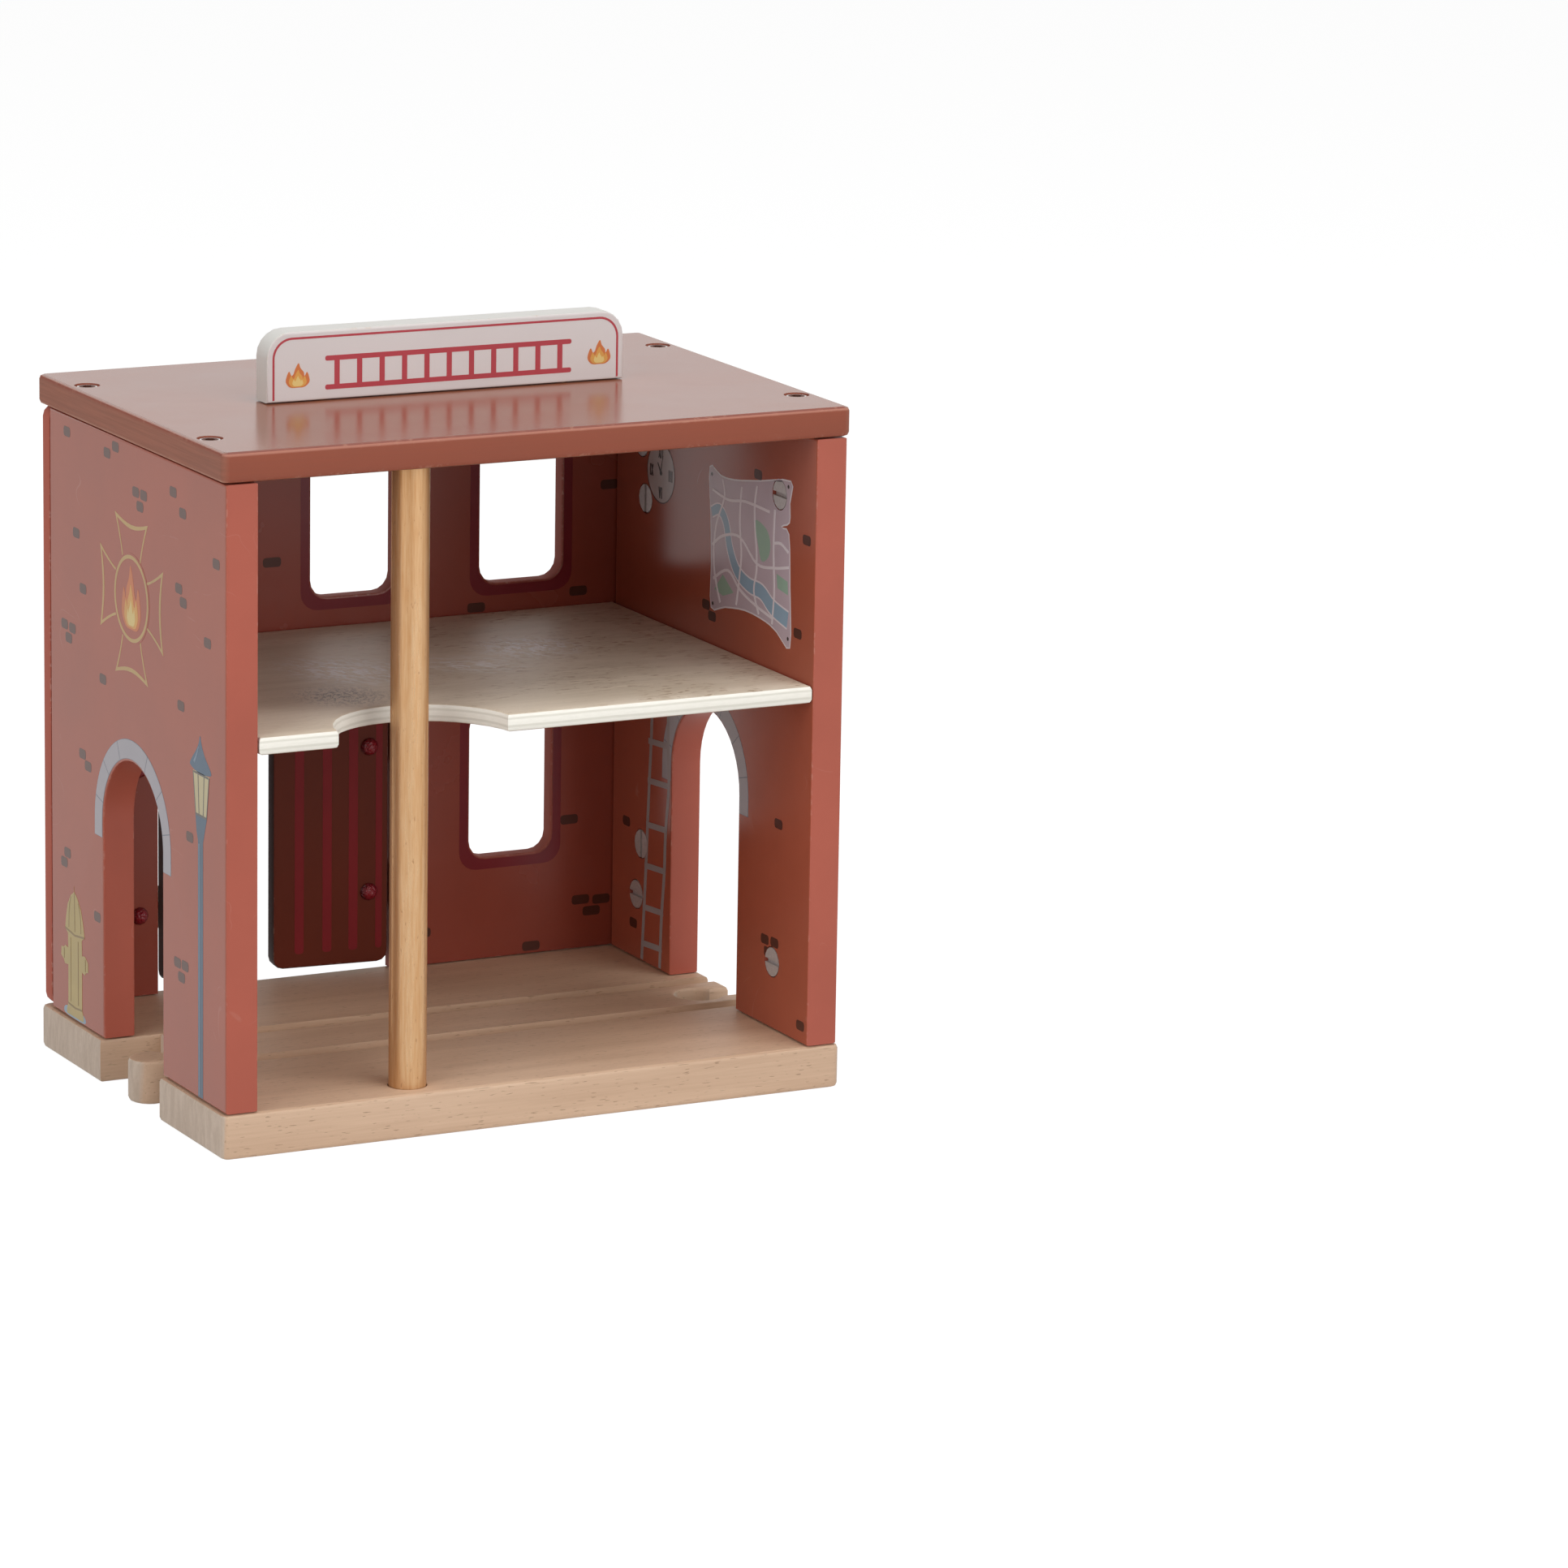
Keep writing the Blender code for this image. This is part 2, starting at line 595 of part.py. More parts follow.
def nut_mesh():
    """A barrel nut along the Z axis: its slotted face on zero, its bore across it along Y."""
    nut = add("nut_blank", rod_mesh("nut", NUT_DIAMETER, NUT_LENGTH, HEAD_SIDES), None)
    bore_start = (0, -NUT_DIAMETER / 2, WALL_THICKNESS / 2)
    bore = drill(nut, "nut_bore", BOLT_DIAMETER + 2 * FIT, NUT_DIAMETER + OVERRUN, bore_start, (0, 1, 0))
    half = NUT_SLOT_WIDTH / 2
    reach = NUT_DIAMETER / 2 + OVERRUN
    slot = mill(nut, "nut_slot", (-reach, -half, -OVERRUN), (reach, half, NUT_SLOT_DEPTH))
    mesh = evaluated_mesh(nut)
    for tool in (bore, slot):
        bpy.data.objects.remove(tool, do_unlink=True)
    smooth(mesh)
    return mesh


def bolt_joint(name, panel, thickness, wall, sign, edge, inward, bolt, nut):
    """A bolt through a panel into the edge of a wall, and the barrel nut that it draws on.

    The edge is the point where the bolt's axis crosses the panel's inner face, and inward points from
    there into the wall.
    """
    inward = Vector(inward)
    edge = Vector(edge)
    outside = edge - inward * thickness
    counterbore = BOLT_HEAD_SINK + BOLT_HEAD_HEIGHT + FIT
    hole = BOLT_DIAMETER + 2 * FIT
    head_hole = BOLT_HEAD_DIAMETER + 2 * FIT
    drill(panel, name + "_counterbore", head_hole, counterbore, outside, inward, HEAD_SIDES)
    drill(panel, name + "_panel_hole", hole, thickness + OVERRUN, outside, inward)
    drill(wall, name + "_wall_hole", hole, NUT_SETBACK + BOLT_TAIL + FIT, edge, inward)
    nut_place = edge + inward * NUT_SETBACK
    nut_place.x = sign * WALL_INSIDE
    outward = Vector((sign, 0, 0))
    depth = NUT_LENGTH + FIT
    drill(wall, name + "_nut_hole", NUT_DIAMETER + 2 * FIT, depth, nut_place, outward, HEAD_SIDES)

    screw = add(name + "_bolt", bolt, bright_steel)
    screw.matrix_world = along(outside + inward * (BOLT_HEAD_SINK + BOLT_HEAD_HEIGHT), -inward)
    barrel = add(name + "_nut", nut, bright_steel)
    across = Matrix((inward.cross(outward), inward, outward)).transposed().to_4x4()
    barrel.matrix_world = Matrix.Translation(nut_place) @ across


def make_bolt_joints(base, walls, back_wall, roof):
    nut = nut_mesh()
    head_depth = BOLT_HEAD_SINK + BOLT_HEAD_HEIGHT
    base_bolt = bolt_mesh(BASE_THICKNESS - head_depth + NUT_SETBACK)
    roof_bolt = bolt_mesh(ROOF_THICKNESS - head_depth + NUT_SETBACK)
    back_bolt = bolt_mesh(BACK_THICKNESS - head_depth + NUT_SETBACK)
    for side_name, sign in (("left", -1), ("right", 1)):
        wall = walls[side_name]
        across = sign * WALL_MIDDLE
        for end_name, end in (("front", -1), ("rear", 1)):
            deep = end * BOLT_DEPTH
            name = "_" + side_name + "_" + end_name
            foot = (across, deep, BASE_TOP)
            bolt_joint("base" + name, base, BASE_THICKNESS, wall, sign, foot, (0, 0, 1), base_bolt, nut)
            head = (across, deep, ROOF_UNDERSIDE)
            bolt_joint("roof" + name, roof, ROOF_THICKNESS, wall, sign, head, (0, 0, -1), roof_bolt, nut)
        for level_name, height in zip(("lower", "upper"), BACK_BOLT_HEIGHTS):
            name = "back_" + side_name + "_" + level_name
            rear = (across, WALL_REAR, height)
            bolt_joint(name, back_wall, BACK_THICKNESS, wall, sign, rear, (0, -1, 0), back_bolt, nut)


def make_leaf(name, sign):
    """A door leaf, closed. Its hinge is on the left for -1 and on the right for 1."""
    jamb = LEFT_JAMB if sign < 0 else RIGHT_JAMB
    hinge_edge = jamb - sign * DOOR_JAMB_GAP
    free_edge = DOORWAY_CENTRE + sign * DOOR_MEETING_GAP / 2
    low = min(hinge_edge, free_edge)
    high = max(hinge_edge, free_edge)
    corners = [(low, DOOR_FOOT), (high, DOOR_FOOT), (high, DOOR_HEAD), (low, DOOR_HEAD)]
    outline = rounded([(x, z, DOOR_CORNER) for x, z in corners])
    place = (0, HOUSE_REAR - BACK_THICKNESS / 2, 0)
    return board(name, [outline], BACK_THICKNESS, WALL_EDGE, FACING_FRONT, place, door_paint)


def plate_mesh(name, stretches):
    """A hinge plate with its back on zero, reaching along +X from its knuckles, whose axis runs along Y.

    Each stretch of the axis, from the top down, is (high, low, whether this plate has the knuckle there).
    """
    half = HINGE_HEIGHT / 2
    shoulder = KNUCKLE_DIAMETER / 2 + HINGE_FIT
    outline = [(HINGE_REACH, -half, HINGE_CORNER), (HINGE_REACH, half, HINGE_CORNER)]
    for high, low, has_knuckle in stretches:
        edge = 0 if has_knuckle else shoulder
        outline += [(edge, high, 0), (edge, low, 0)]
    plate = add(name, board_mesh(name, [rounded(outline)], PLATE_THICKNESS, 0), None)
    plate.location.z = PLATE_THICKNESS / 2
    tools = []
    for high, low, has_knuckle in stretches:
        if not has_knuckle:
            continue
        knuckle = cutter(name + "_knuckle", rod_mesh("knuckle", KNUCKLE_DIAMETER, high - low, SMALL_SIDES))
        knuckle.matrix_world = along((0, low, AXIS_RISE), (0, 1, 0))
        cut(plate, knuckle, "UNION")
        tools.append(knuckle)
    pin_hole = PIN_DIAMETER + 2 * HINGE_FIT
    pin_start = (0, -half, AXIS_RISE)
    tools.append(drill(plate, name + "_pin_hole", pin_hole, HINGE_HEIGHT + OVERRUN, pin_start, (0, 1, 0)))
    rivet_hole = RIVET_DIAMETER + 2 * FIT
    depth = PLATE_THICKNESS + OVERRUN
    tools.append(drill(plate, name + "_rivet_hole", rivet_hole, depth, (RIVET_REACH, 0, 0), (0, 0, 1)))
    mesh = evaluated_mesh(plate)
    for tool in tools:
        bpy.data.objects.remove(tool, do_unlink=True)
    smooth(mesh)
    return mesh


def rivet_mesh():
    """A rivet down the Z axis: the dome's flat lies on zero, and the flat tail closes on the hinge plate."""
    dome = RIVET_DOME_DIAMETER / 2
    bulge = (dome**2 + RIVET_DOME_HEIGHT**2) / (2 * RIVET_DOME_HEIGHT)
    rim_angle = math.asin(dome / bulge)
    shank = RIVET_DIAMETER / 2
    tail = RIVET_TAIL_DIAMETER / 2
    length = BACK_THICKNESS + PLATE_THICKNESS + 3 * FIT
    profile = []
    for step in range(DOME_STEPS + 1):
        angle = rim_angle * step / DOME_STEPS
        profile.append((bulge * math.sin(angle), RIVET_DOME_HEIGHT - bulge * (1 - math.cos(angle))))
    profile += [(shank, 0), (shank, -length), (tail, -length), (tail, -length - RIVET_TAIL_HEIGHT)]
    profile.append((0, -length - RIVET_TAIL_HEIGHT))
    return turned_mesh("rivet", profile, SMALL_SIDES)


def pin_mesh():
    """A hinge pin down the Z axis, its head on top of the knuckles."""
    shank = PIN_DIAMETER / 2
    head = PIN_HEAD_DIAMETER / 2
    length = HINGE_HEIGHT + HINGE_FIT
    profile = [(0, PIN_HEAD_HEIGHT), (head, PIN_HEAD_HEIGHT), (head, 0), (shank, 0)]
    profile += [(shank, -length), (0, -length)]
    return turned_mesh("hinge_pin", profile, SMALL_SIDES)


def make_doors(back_wall):
    """The two leaves on their hinges, each turned open about its axis."""
    half = HINGE_HEIGHT / 2
    outer = HINGE_HEIGHT / 6
    stretches = [(half, outer, True), (outer, -outer, False), (-outer, -half, True)]
    wall_plate = plate_mesh("wall_plate", stretches)
    middle = outer - HINGE_FIT
    stretches = [(half, middle, False), (middle, -middle, True), (-middle, -half, False)]
    door_plate = plate_mesh("door_plate", stretches)
    rivet = rivet_mesh()
    pin = pin_mesh()
    for side_name, sign, turn in (("left", -1, LEFT_DOOR_OPEN), ("right", 1, -RIGHT_DOOR_OPEN)):
        axis = (LEFT_JAMB if sign < 0 else RIGHT_JAMB) - sign * DOOR_JAMB_GAP / 2
        leaf = make_leaf(side_name + "_door", sign)
        swinging = [leaf]
        for level_name, height in HINGE_HEIGHTS.items():
            hinge = side_name + "_" + level_name + "_hinge"
            for carrier_name, carrier, mesh, reach in (
                ("wall", back_wall, wall_plate, sign),
                ("door", leaf, door_plate, -sign),
            ):
                plate = add(hinge + "_" + carrier_name + "_plate", mesh, hinge_steel)
                lying = Matrix(((reach, 0, 0), (0, 0, 1), (0, -reach, 0))).to_4x4()
                plate.matrix_world = Matrix.Translation((axis, PLATE_BACK, height)) @ lying
                inner_face = Vector((axis + reach * RIVET_REACH, HOUSE_REAR - BACK_THICKNESS, height))
                hole_name = hinge + "_" + carrier_name + "_rivet_hole"
                depth = BACK_THICKNESS + OVERRUN
                hole = drill(carrier, hole_name, RIVET_DIAMETER + 2 * FIT, depth, inner_face, (0, 1, 0))
                dome = add(hinge + "_" + carrier_name + "_rivet", rivet, dome_paint)
                dome.matrix_world = along(inner_face - Vector((0, FIT, 0)), (0, -1, 0))
                if carrier is leaf:
                    swinging += [plate, hole, dome]
            hinge_pin = add(hinge + "_pin", pin, hinge_steel)
            hinge_pin.location = (axis, HINGE_AXIS, height + half + HINGE_FIT)
        pivot = bpy.data.objects.new(side_name + "_door_axis", None)
        parts.objects.link(pivot)
        pivot.location = (axis, HINGE_AXIS, 0)
        bpy.context.view_layer.update()
        for piece in swinging:
            piece.parent = pivot
            piece.matrix_parent_inverse = pivot.matrix_world.inverted()
        pivot.rotation_euler.z = turn


base = make_base()
walls = {"left": make_wall("left_wall", -1), "right": make_wall("right_wall", 1)}
back_wall = make_back_wall()
roof = make_roof()
make_upper_floor()
make_fire_pole()
make_sign(roof)
make_bolt_joints(base, walls, back_wall, roof)
make_doors(back_wall)
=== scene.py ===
import math

import bmesh
import bpy
from mathutils import Matrix, Vector


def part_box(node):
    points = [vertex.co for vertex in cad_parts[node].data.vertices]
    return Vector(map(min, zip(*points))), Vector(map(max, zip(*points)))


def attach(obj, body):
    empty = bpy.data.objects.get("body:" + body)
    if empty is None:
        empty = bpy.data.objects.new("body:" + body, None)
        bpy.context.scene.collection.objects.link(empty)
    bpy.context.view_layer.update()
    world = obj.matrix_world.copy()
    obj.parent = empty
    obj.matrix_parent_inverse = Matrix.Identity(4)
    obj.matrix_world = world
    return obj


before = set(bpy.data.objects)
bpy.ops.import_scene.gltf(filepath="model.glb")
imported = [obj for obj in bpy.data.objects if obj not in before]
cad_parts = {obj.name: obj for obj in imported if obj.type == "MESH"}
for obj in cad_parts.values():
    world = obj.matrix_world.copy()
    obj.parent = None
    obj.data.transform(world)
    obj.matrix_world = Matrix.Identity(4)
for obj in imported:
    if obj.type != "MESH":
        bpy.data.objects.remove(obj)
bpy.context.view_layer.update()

# ---- Camera, table and light ----
# The toy stands on a white table in a white room, seen a little from above through a long lens. One wide
# soft lamp hangs over it, one stands in front on the right and one on the left, and the room fills in.


def node(kind, inputs, tree=None, **settings):
    """A node. Its inputs are values or sockets that feed them, and it stands in the tree of those sockets."""
    tree = tree or next(value.id_data for value in inputs.values() if isinstance(value, bpy.types.NodeSocket))
    made = tree.nodes.new(kind)
    for name, value in settings.items():
        setattr(made, name, value)
    for key, value in inputs.items():
        if isinstance(value, bpy.types.NodeSocket):
            tree.links.new(value, made.inputs[key])
        else:
            made.inputs[key].default_value = value
    return made


def maths(operation, first, second=0.0, clamp=False):
    return node("ShaderNodeMath", {0: first, 1: second}, operation=operation, use_clamp=clamp).outputs[0]


def seen_directly(tree):
    """One for the rays that look straight at a surface, or by way of gloss or glass."""
    path = node("ShaderNodeLightPath", {}, tree).outputs
    looked = maths("MAXIMUM", path["Is Camera Ray"], path["Is Glossy Ray"])
    return maths("MAXIMUM", looked, path["Is Transmission Ray"])


def in_scene(name, data):
    """An object of its own for some data, linked to the scene."""
    made = bpy.data.objects.new(name, data)
    bpy.context.scene.collection.objects.link(made)
    return made


camera = bpy.data.cameras.new("camera")
camera.sensor_width = 36
camera.lens = 171.595
camera.clip_end = 20
camera_stand = in_scene("camera", camera)
camera_turn = (
    Matrix.Rotation(math.radians(-27.553), 4, "Z")
    @ Matrix.Rotation(math.radians(76.897), 4, "X")
    @ Matrix.Rotation(math.radians(1.008), 4, "Z")
)
camera_stand.matrix_world = Matrix.Translation((-0.8231, -1.7778, 0.5357)) @ camera_turn
bpy.context.scene.camera = camera_stand
bpy.context.scene.view_settings.view_transform = "Standard"

table_reach = 6
table_grey = 0.6
shadow_grey = 0.2
table_glow = 0.94
table_mesh = bpy.data.meshes.new("table")
table_corners = [(x * table_reach, y * table_reach, 0) for x, y in ((-1, -1), (1, -1), (1, 1), (-1, 1))]
table_mesh.from_pydata(table_corners, [], [(0, 1, 2, 3)])
table = in_scene("table", table_mesh)
white_table = bpy.data.materials.new("white_table")
white_table.use_nodes = True
tree = white_table.node_tree
tree.nodes.clear()
matt = node("ShaderNodeBsdfDiffuse", {"Color": (table_grey, table_grey, table_grey, 1)}, tree)
shadow_keeper = node("ShaderNodeBsdfDiffuse", {"Color": (shadow_grey, shadow_grey, shadow_grey, 1)}, tree)
glow = node("ShaderNodeEmission", {"Color": (1, 1, 1, 1), "Strength": table_glow}, tree)
bright = node("ShaderNodeAddShader", {0: shadow_keeper.outputs[0], 1: glow.outputs[0]})
chosen = node("ShaderNodeMixShader", {0: seen_directly(tree), 1: matt.outputs[0], 2: bright.outputs[0]})
node("ShaderNodeOutputMaterial", {"Surface": chosen.outputs[0]})
table_mesh.materials.append(white_table)

fill_colour = (1, 0.985, 0.97, 1)
fill_strength = 0.1
room = bpy.data.worlds.new("white_room")
room.use_nodes = True
tree = room.node_tree
tree.nodes.clear()
fill = node("ShaderNodeBackground", {"Color": fill_colour, "Strength": fill_strength}, tree)
white = node("ShaderNodeBackground", {"Color": (1, 1, 1, 1), "Strength": 1.0}, tree)
chosen = node("ShaderNodeMixShader", {0: seen_directly(tree), 1: fill.outputs[0], 2: white.outputs[0]})
node("ShaderNodeOutputWorld", {"Surface": chosen.outputs[0]})
bpy.context.scene.world = room

lit_place = Vector((0, 0, 0.1))
for lamp_name, place, width, power in (
    ("lamp_above", (0.1, -0.3, 1.5), 1.0, 11.8),
    ("lamp_on_right", (0.66, -1.5, 0.75), 1.6, 16.4),
    ("lamp_on_left", (-1.5, -0.62, 0.7), 1.3, 13.5),
):
    lamp = bpy.data.lights.new(lamp_name, "AREA")
    lamp.shape = "SQUARE"
    lamp.size = width
    lamp.energy = power
    aim = lit_place - Vector(place)
    lamp_turn = aim.to_track_quat("-Z", "Y").to_matrix().to_4x4()
    in_scene(lamp_name, lamp).matrix_world = Matrix.Translation(place) @ lamp_turn

# ---- Base board ----
# A planed beech board, its grain running along the track, with end grain at both ends. The wood is left
# bare, so the small dark pores of beech show as short dashes.
beech_pale = (0.70, 0.49, 0.34, 1)
beech_dark = (0.56, 0.37, 0.245, 1)
end_pale = (0.66, 0.535, 0.43, 1)
end_dark = (0.53, 0.41, 0.315, 1)
beech_pore = (0.33, 0.205, 0.125, 1)
wood_relief = 0.00006
seam = 0.000002
sharpest_rounding = math.radians(38)


def times(*values):
    product = values[0]
    for value in values[1:]:
        product = maths("MULTIPLY", product, value)
    return product


def plus(first, second):
    return maths("ADD", first, second)


def minus(first, second):
    return maths("SUBTRACT", first, second)


def unsigned(value):
    return maths("ABSOLUTE", value)


def swing(value, reach):
    """What a value round a half adds or takes away."""
    return times(minus(value, 0.5), reach)


def blend(first, second, share):
    """Two values added by shares, where the second has what the first leaves."""
    return plus(times(first, share), times(second, 1 - share))


def vectors(operation, first, second=(0, 0, 0)):
    return node("ShaderNodeVectorMath", {0: first, 1: second}, operation=operation).outputs


def mix(factor, first, second):
    return node("ShaderNodeMix", {0: factor, 6: first, 7: second}, data_type="RGBA").outputs[2]


def spread(value, low, high, new_low=0.0, new_high=1.0):
    """A value that runs from new_low to new_high as the one given runs from low to high."""
    inputs = {"Value": value, "From Min": low, "From Max": high, "To Min": new_low, "To Max": new_high}
    return node("ShaderNodeMapRange", inputs).outputs[0]


def band(value, low, rise, fall, high):
    """One where a value lies between two bounds, with soft sides."""
    return times(spread(value, low, rise), spread(value, high, fall))


def noise(place, scale, detail=2.0, roughness=0.5, distortion=0.0):
    """Noise of one scale, or of a scale along each axis."""
    if isinstance(scale, tuple):
        place, scale = vectors("MULTIPLY", place, scale)[0], 1
    inputs = {"Vector": place, "Scale": scale, "Detail": detail, "Roughness": roughness, "Distortion": distortion}
    return node("ShaderNodeTexNoise", inputs).outputs[0]


def start_group(name, inputs, outputs, kind="ShaderNodeTree"):
    """An empty node group with its sockets, each given as a name and a kind, inputs with a value too."""
    group = bpy.data.node_groups.new(name, kind)
    for label, content, value in inputs:
        socket = group.interface.new_socket(name=label, in_out="INPUT", socket_type="NodeSocket" + content)
        if value is not None:
            socket.default_value = value
    for label, content in outputs:
        group.interface.new_socket(name=label, in_out="OUTPUT", socket_type="NodeSocket" + content)
    return group, group.nodes.new("NodeGroupInput").outputs, group.nodes.new("NodeGroupOutput").inputs


def put_group(group, inputs):
    return node("ShaderNodeGroup", inputs, node_tree=group).outputs


wood_grain, given, out = start_group(
    "wood_grain",
    [
        ("Place", "Vector", None), ("Pale", "Color", beech_pale), ("Dark", "Color", beech_dark),
        ("Pore", "Color", beech_pore), ("Pores", "Float", 1.0), ("End Grain", "Float", 0.0),
    ],
    [("Color", "Color"), ("Height", "Float")],
)
place = given["Place"]
bands = noise(place, (9, 95, 95), 3, 0.55, 0.4)
fibres = noise(place, (45, 1500, 1500), 3, 0.6)
dashes = noise(place, (330, 2600, 2600), 1, 0.4)
rings = noise(place, (60, 420, 110), 3, 0.6, 0.8)
specks = noise(place, (300, 1500, 900))
long_tone = blend(spread(bands, 0.32, 0.68), spread(fibres, 0.3, 0.7), 0.6)
end_tone = blend(spread(rings, 0.35, 0.65), spread(specks, 0.3, 0.7), 0.75)
tone = node("ShaderNodeMix", {0: given["End Grain"], 2: long_tone, 3: end_tone}).outputs[0]
pore = maths("MULTIPLY", spread(dashes, 0.67, 0.73), given["Pores"], clamp=True)
pore = times(pore, minus(1.0, given["End Grain"]))
wood = mix(tone, given["Pale"], given["Dark"])
wood_grain.links.new(mix(times(pore, 0.62), wood, given["Pore"]), out["Color"])
wood_grain.links.new(minus(times(fibres, 0.5), times(pore, 0.6)), out["Height"])

geometry = [("Geometry", "Geometry")]
round_shading, given, out = start_group(
    "round_shading", [("Geometry", "Geometry", None)], geometry, "GeometryNodeTree"
)
smooth_shade = "GeometryNodeSetShadeSmooth"
sewn = node("GeometryNodeMergeByDistance", {"Geometry": given[0], "Distance": seam})
softened = node(smooth_shade, {"Geometry": sewn.outputs[0], "Shade Smooth": True}, domain="FACE")
angles = {0: node("GeometryNodeInputMeshEdgeAngle", {}, round_shading).outputs[0], 1: sharpest_rounding}
gentle = node("FunctionNodeCompare", angles, data_type="FLOAT", operation="LESS_THAN").outputs[0]
shaded = node(smooth_shade, {"Geometry": softened.outputs[0], "Shade Smooth": gentle}, domain="EDGE")
round_shading.links.new(shaded.outputs[0], out[0])


def start_finish(name, **plain):
    """A material and its shader, with the values that are the same all over it."""
    material = bpy.data.materials.new(name)
    material.use_nodes = True
    shader = material.node_tree.nodes["Principled BSDF"]
    for label, value in plain.items():
        shader.inputs[label.replace("_", " ")].default_value = value
    return material, shader


def surface(shader, turned=0.0):
    """Where a point lies, and the parts of the way it faces, once turned back round the vertical."""
    here = node("ShaderNodeTexCoord", {}, shader.id_data).outputs
    inputs = {"Vector": here["Normal"], "Angle": -turned}
    squared = node("ShaderNodeVectorRotate", inputs, rotation_type="Z_AXIS").outputs[0]
    return here["Object"], node("ShaderNodeSeparateXYZ", {0: squared}).outputs


def finish(shader, colour, roughness, height, relief):
    """Gives a shader what changes over its surface."""
    bump = node("ShaderNodeBump", {"Height": height, "Distance": relief, "Strength": 1.0}).outputs[0]
    for feed, label in ((colour, "Base Color"), (roughness, "Roughness"), (bump, "Normal")):
        shader.id_data.links.new(feed, shader.inputs[label])


def dress(piece_name, material):
    """Gives a CAD node its finish, and smooth shading over its small rounded edges."""
    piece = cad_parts[piece_name]
    piece.material_slots[0].material = material
    piece.modifiers.new("round_shading", "NODES").node_group = round_shading
    piece.modifiers.new("flat_faces", "WEIGHTED_NORMAL").keep_sharp = True


beech, shader = start_finish("planed_beech", IOR=1.45)
place, facing = surface(shader)
end_grain = spread(unsigned(facing[0]), 0.6, 0.8)
pale, dark = mix(end_grain, beech_pale, end_pale), mix(end_grain, beech_dark, end_dark)
wood_inputs = {"Place": place, "Pale": pale, "Dark": dark, "Pore": beech_pore, "Pores": 1.0, "End Grain": end_grain}
grain = put_group(wood_grain, wood_inputs)
rough = spread(grain["Height"], -0.3, 0.5, 0.62, 0.48)
finish(shader, grain["Color"], rough, grain["Height"], wood_relief)
dress("base", beech)

# ---- Side walls ----
# Nine millimetre boards with an arch for the track. The edges are painted brick red, and the broad faces
# carry a printed film of the same red, a little duller. The paint is rubbed thin along the edges.
edge_red = (0.43, 0.105, 0.068, 1)
face_red = (0.395, 0.098, 0.054, 1)
rubbed_red = (0.60, 0.34, 0.27, 1)
paint_relief = 0.00001

paint_film, given, out = start_group(
    "paint_film",
    [
        ("Place", "Vector", None), ("Paint", "Color", edge_red), ("Rubbed", "Color", rubbed_red),
        ("Broad", "Float", 1.0), ("Wear", "Float", 0.5), ("Scuffs", "Float", 0.3),
        ("Roughness", "Float", 0.3), ("Mottle", "Float", 0.06),
    ],
    [("Color", "Color"), ("Roughness", "Float"), ("Height", "Float")],
)
place = given["Place"]
clouds = noise(place, 38, 4, 0.55)
peel = noise(place, 700)
dust = noise(place, 2600, 2, 0.6)
chips = noise(place, 520, 3, 0.65)
patches = noise(place, 60)
threads = noise(place, (26, 11, 26), 2, 0.5, 1.6)
tangles = noise(place, 75)
thread_line = spread(unsigned(minus(threads, 0.5)), 0.0035, 0.0)
hairs = times(thread_line, spread(tangles, 0.56, 0.66))
rounding = band(given["Broad"], 0.05, 0.3, 0.94, 0.996)
chipped = times(spread(chips, 0.52, 0.62), spread(patches, 0.4, 0.6))
rubbed = maths("MULTIPLY", times(rounding, chipped), given["Wear"], clamp=True)
dusty = times(spread(dust, 0.72, 0.8), 0.16)
marks = maths("MAXIMUM", dusty, times(hairs, given["Scuffs"]))
brightness = plus(1.0, swing(clouds, times(given["Mottle"], 4.0)))
shade = node("ShaderNodeVectorMath", {0: given["Paint"], "Scale": brightness}, operation="SCALE").outputs[0]
rough = plus(given["Roughness"], swing(clouds, 0.12))
relief = plus(times(peel, 0.7), times(dust, 0.15))
paint_film.links.new(mix(maths("MAXIMUM", rubbed, marks), shade, given["Rubbed"]), out["Color"])
paint_film.links.new(maths("ADD", rough, times(rubbed, 0.3), clamp=True), out["Roughness"])
paint_film.links.new(minus(relief, rubbed), out["Height"])


def paint(
    name, edge_colour, face_colour, axis, rubbed_colour, roughness, wear,
    mottle=0.06, face_roughness=None, shine=0.4, scuffs=0.0, turned=0.0,
):
    """Paint on a board whose broad faces look along an axis, once it is turned back to face it."""
    material, shader = start_finish(name, IOR=1.5, Specular_IOR_Level=shine)
    place, facing = surface(shader, turned)
    outward = unsigned(facing[axis])
    broad = spread(outward, 0.9, 0.97)
    film = put_group(paint_film, {
        "Place": place, "Paint": mix(broad, edge_colour, face_colour), "Rubbed": rubbed_colour,
        "Broad": outward, "Wear": wear, "Scuffs": scuffs, "Mottle": mottle,
        "Roughness": spread(broad, 0, 1, roughness, face_roughness or roughness),
    })
    finish(shader, film["Color"], film["Roughness"], film["Height"], paint_relief)
    return material


wall_paint = paint(
    "brick_red_paint", edge_red, face_red, 0, rubbed_red, 0.36, 0.3, face_roughness=0.2, shine=0.25, scuffs=0.2
)
dress("left_wall", wall_paint)
dress("right_wall", wall_paint)

# ---- Back wall ----
# A thinner board over the walls' rear edges, printed dark brick red on the inside, with the doorway and
# four window openings cut through it.
back_red = (0.285, 0.056, 0.033, 1)
back_paint = paint("back_wall_paint", edge_red, back_red, 1, rubbed_red, 0.65, 0.6, face_roughness=0.26, shine=0.3)
dress("back_wall", back_paint)

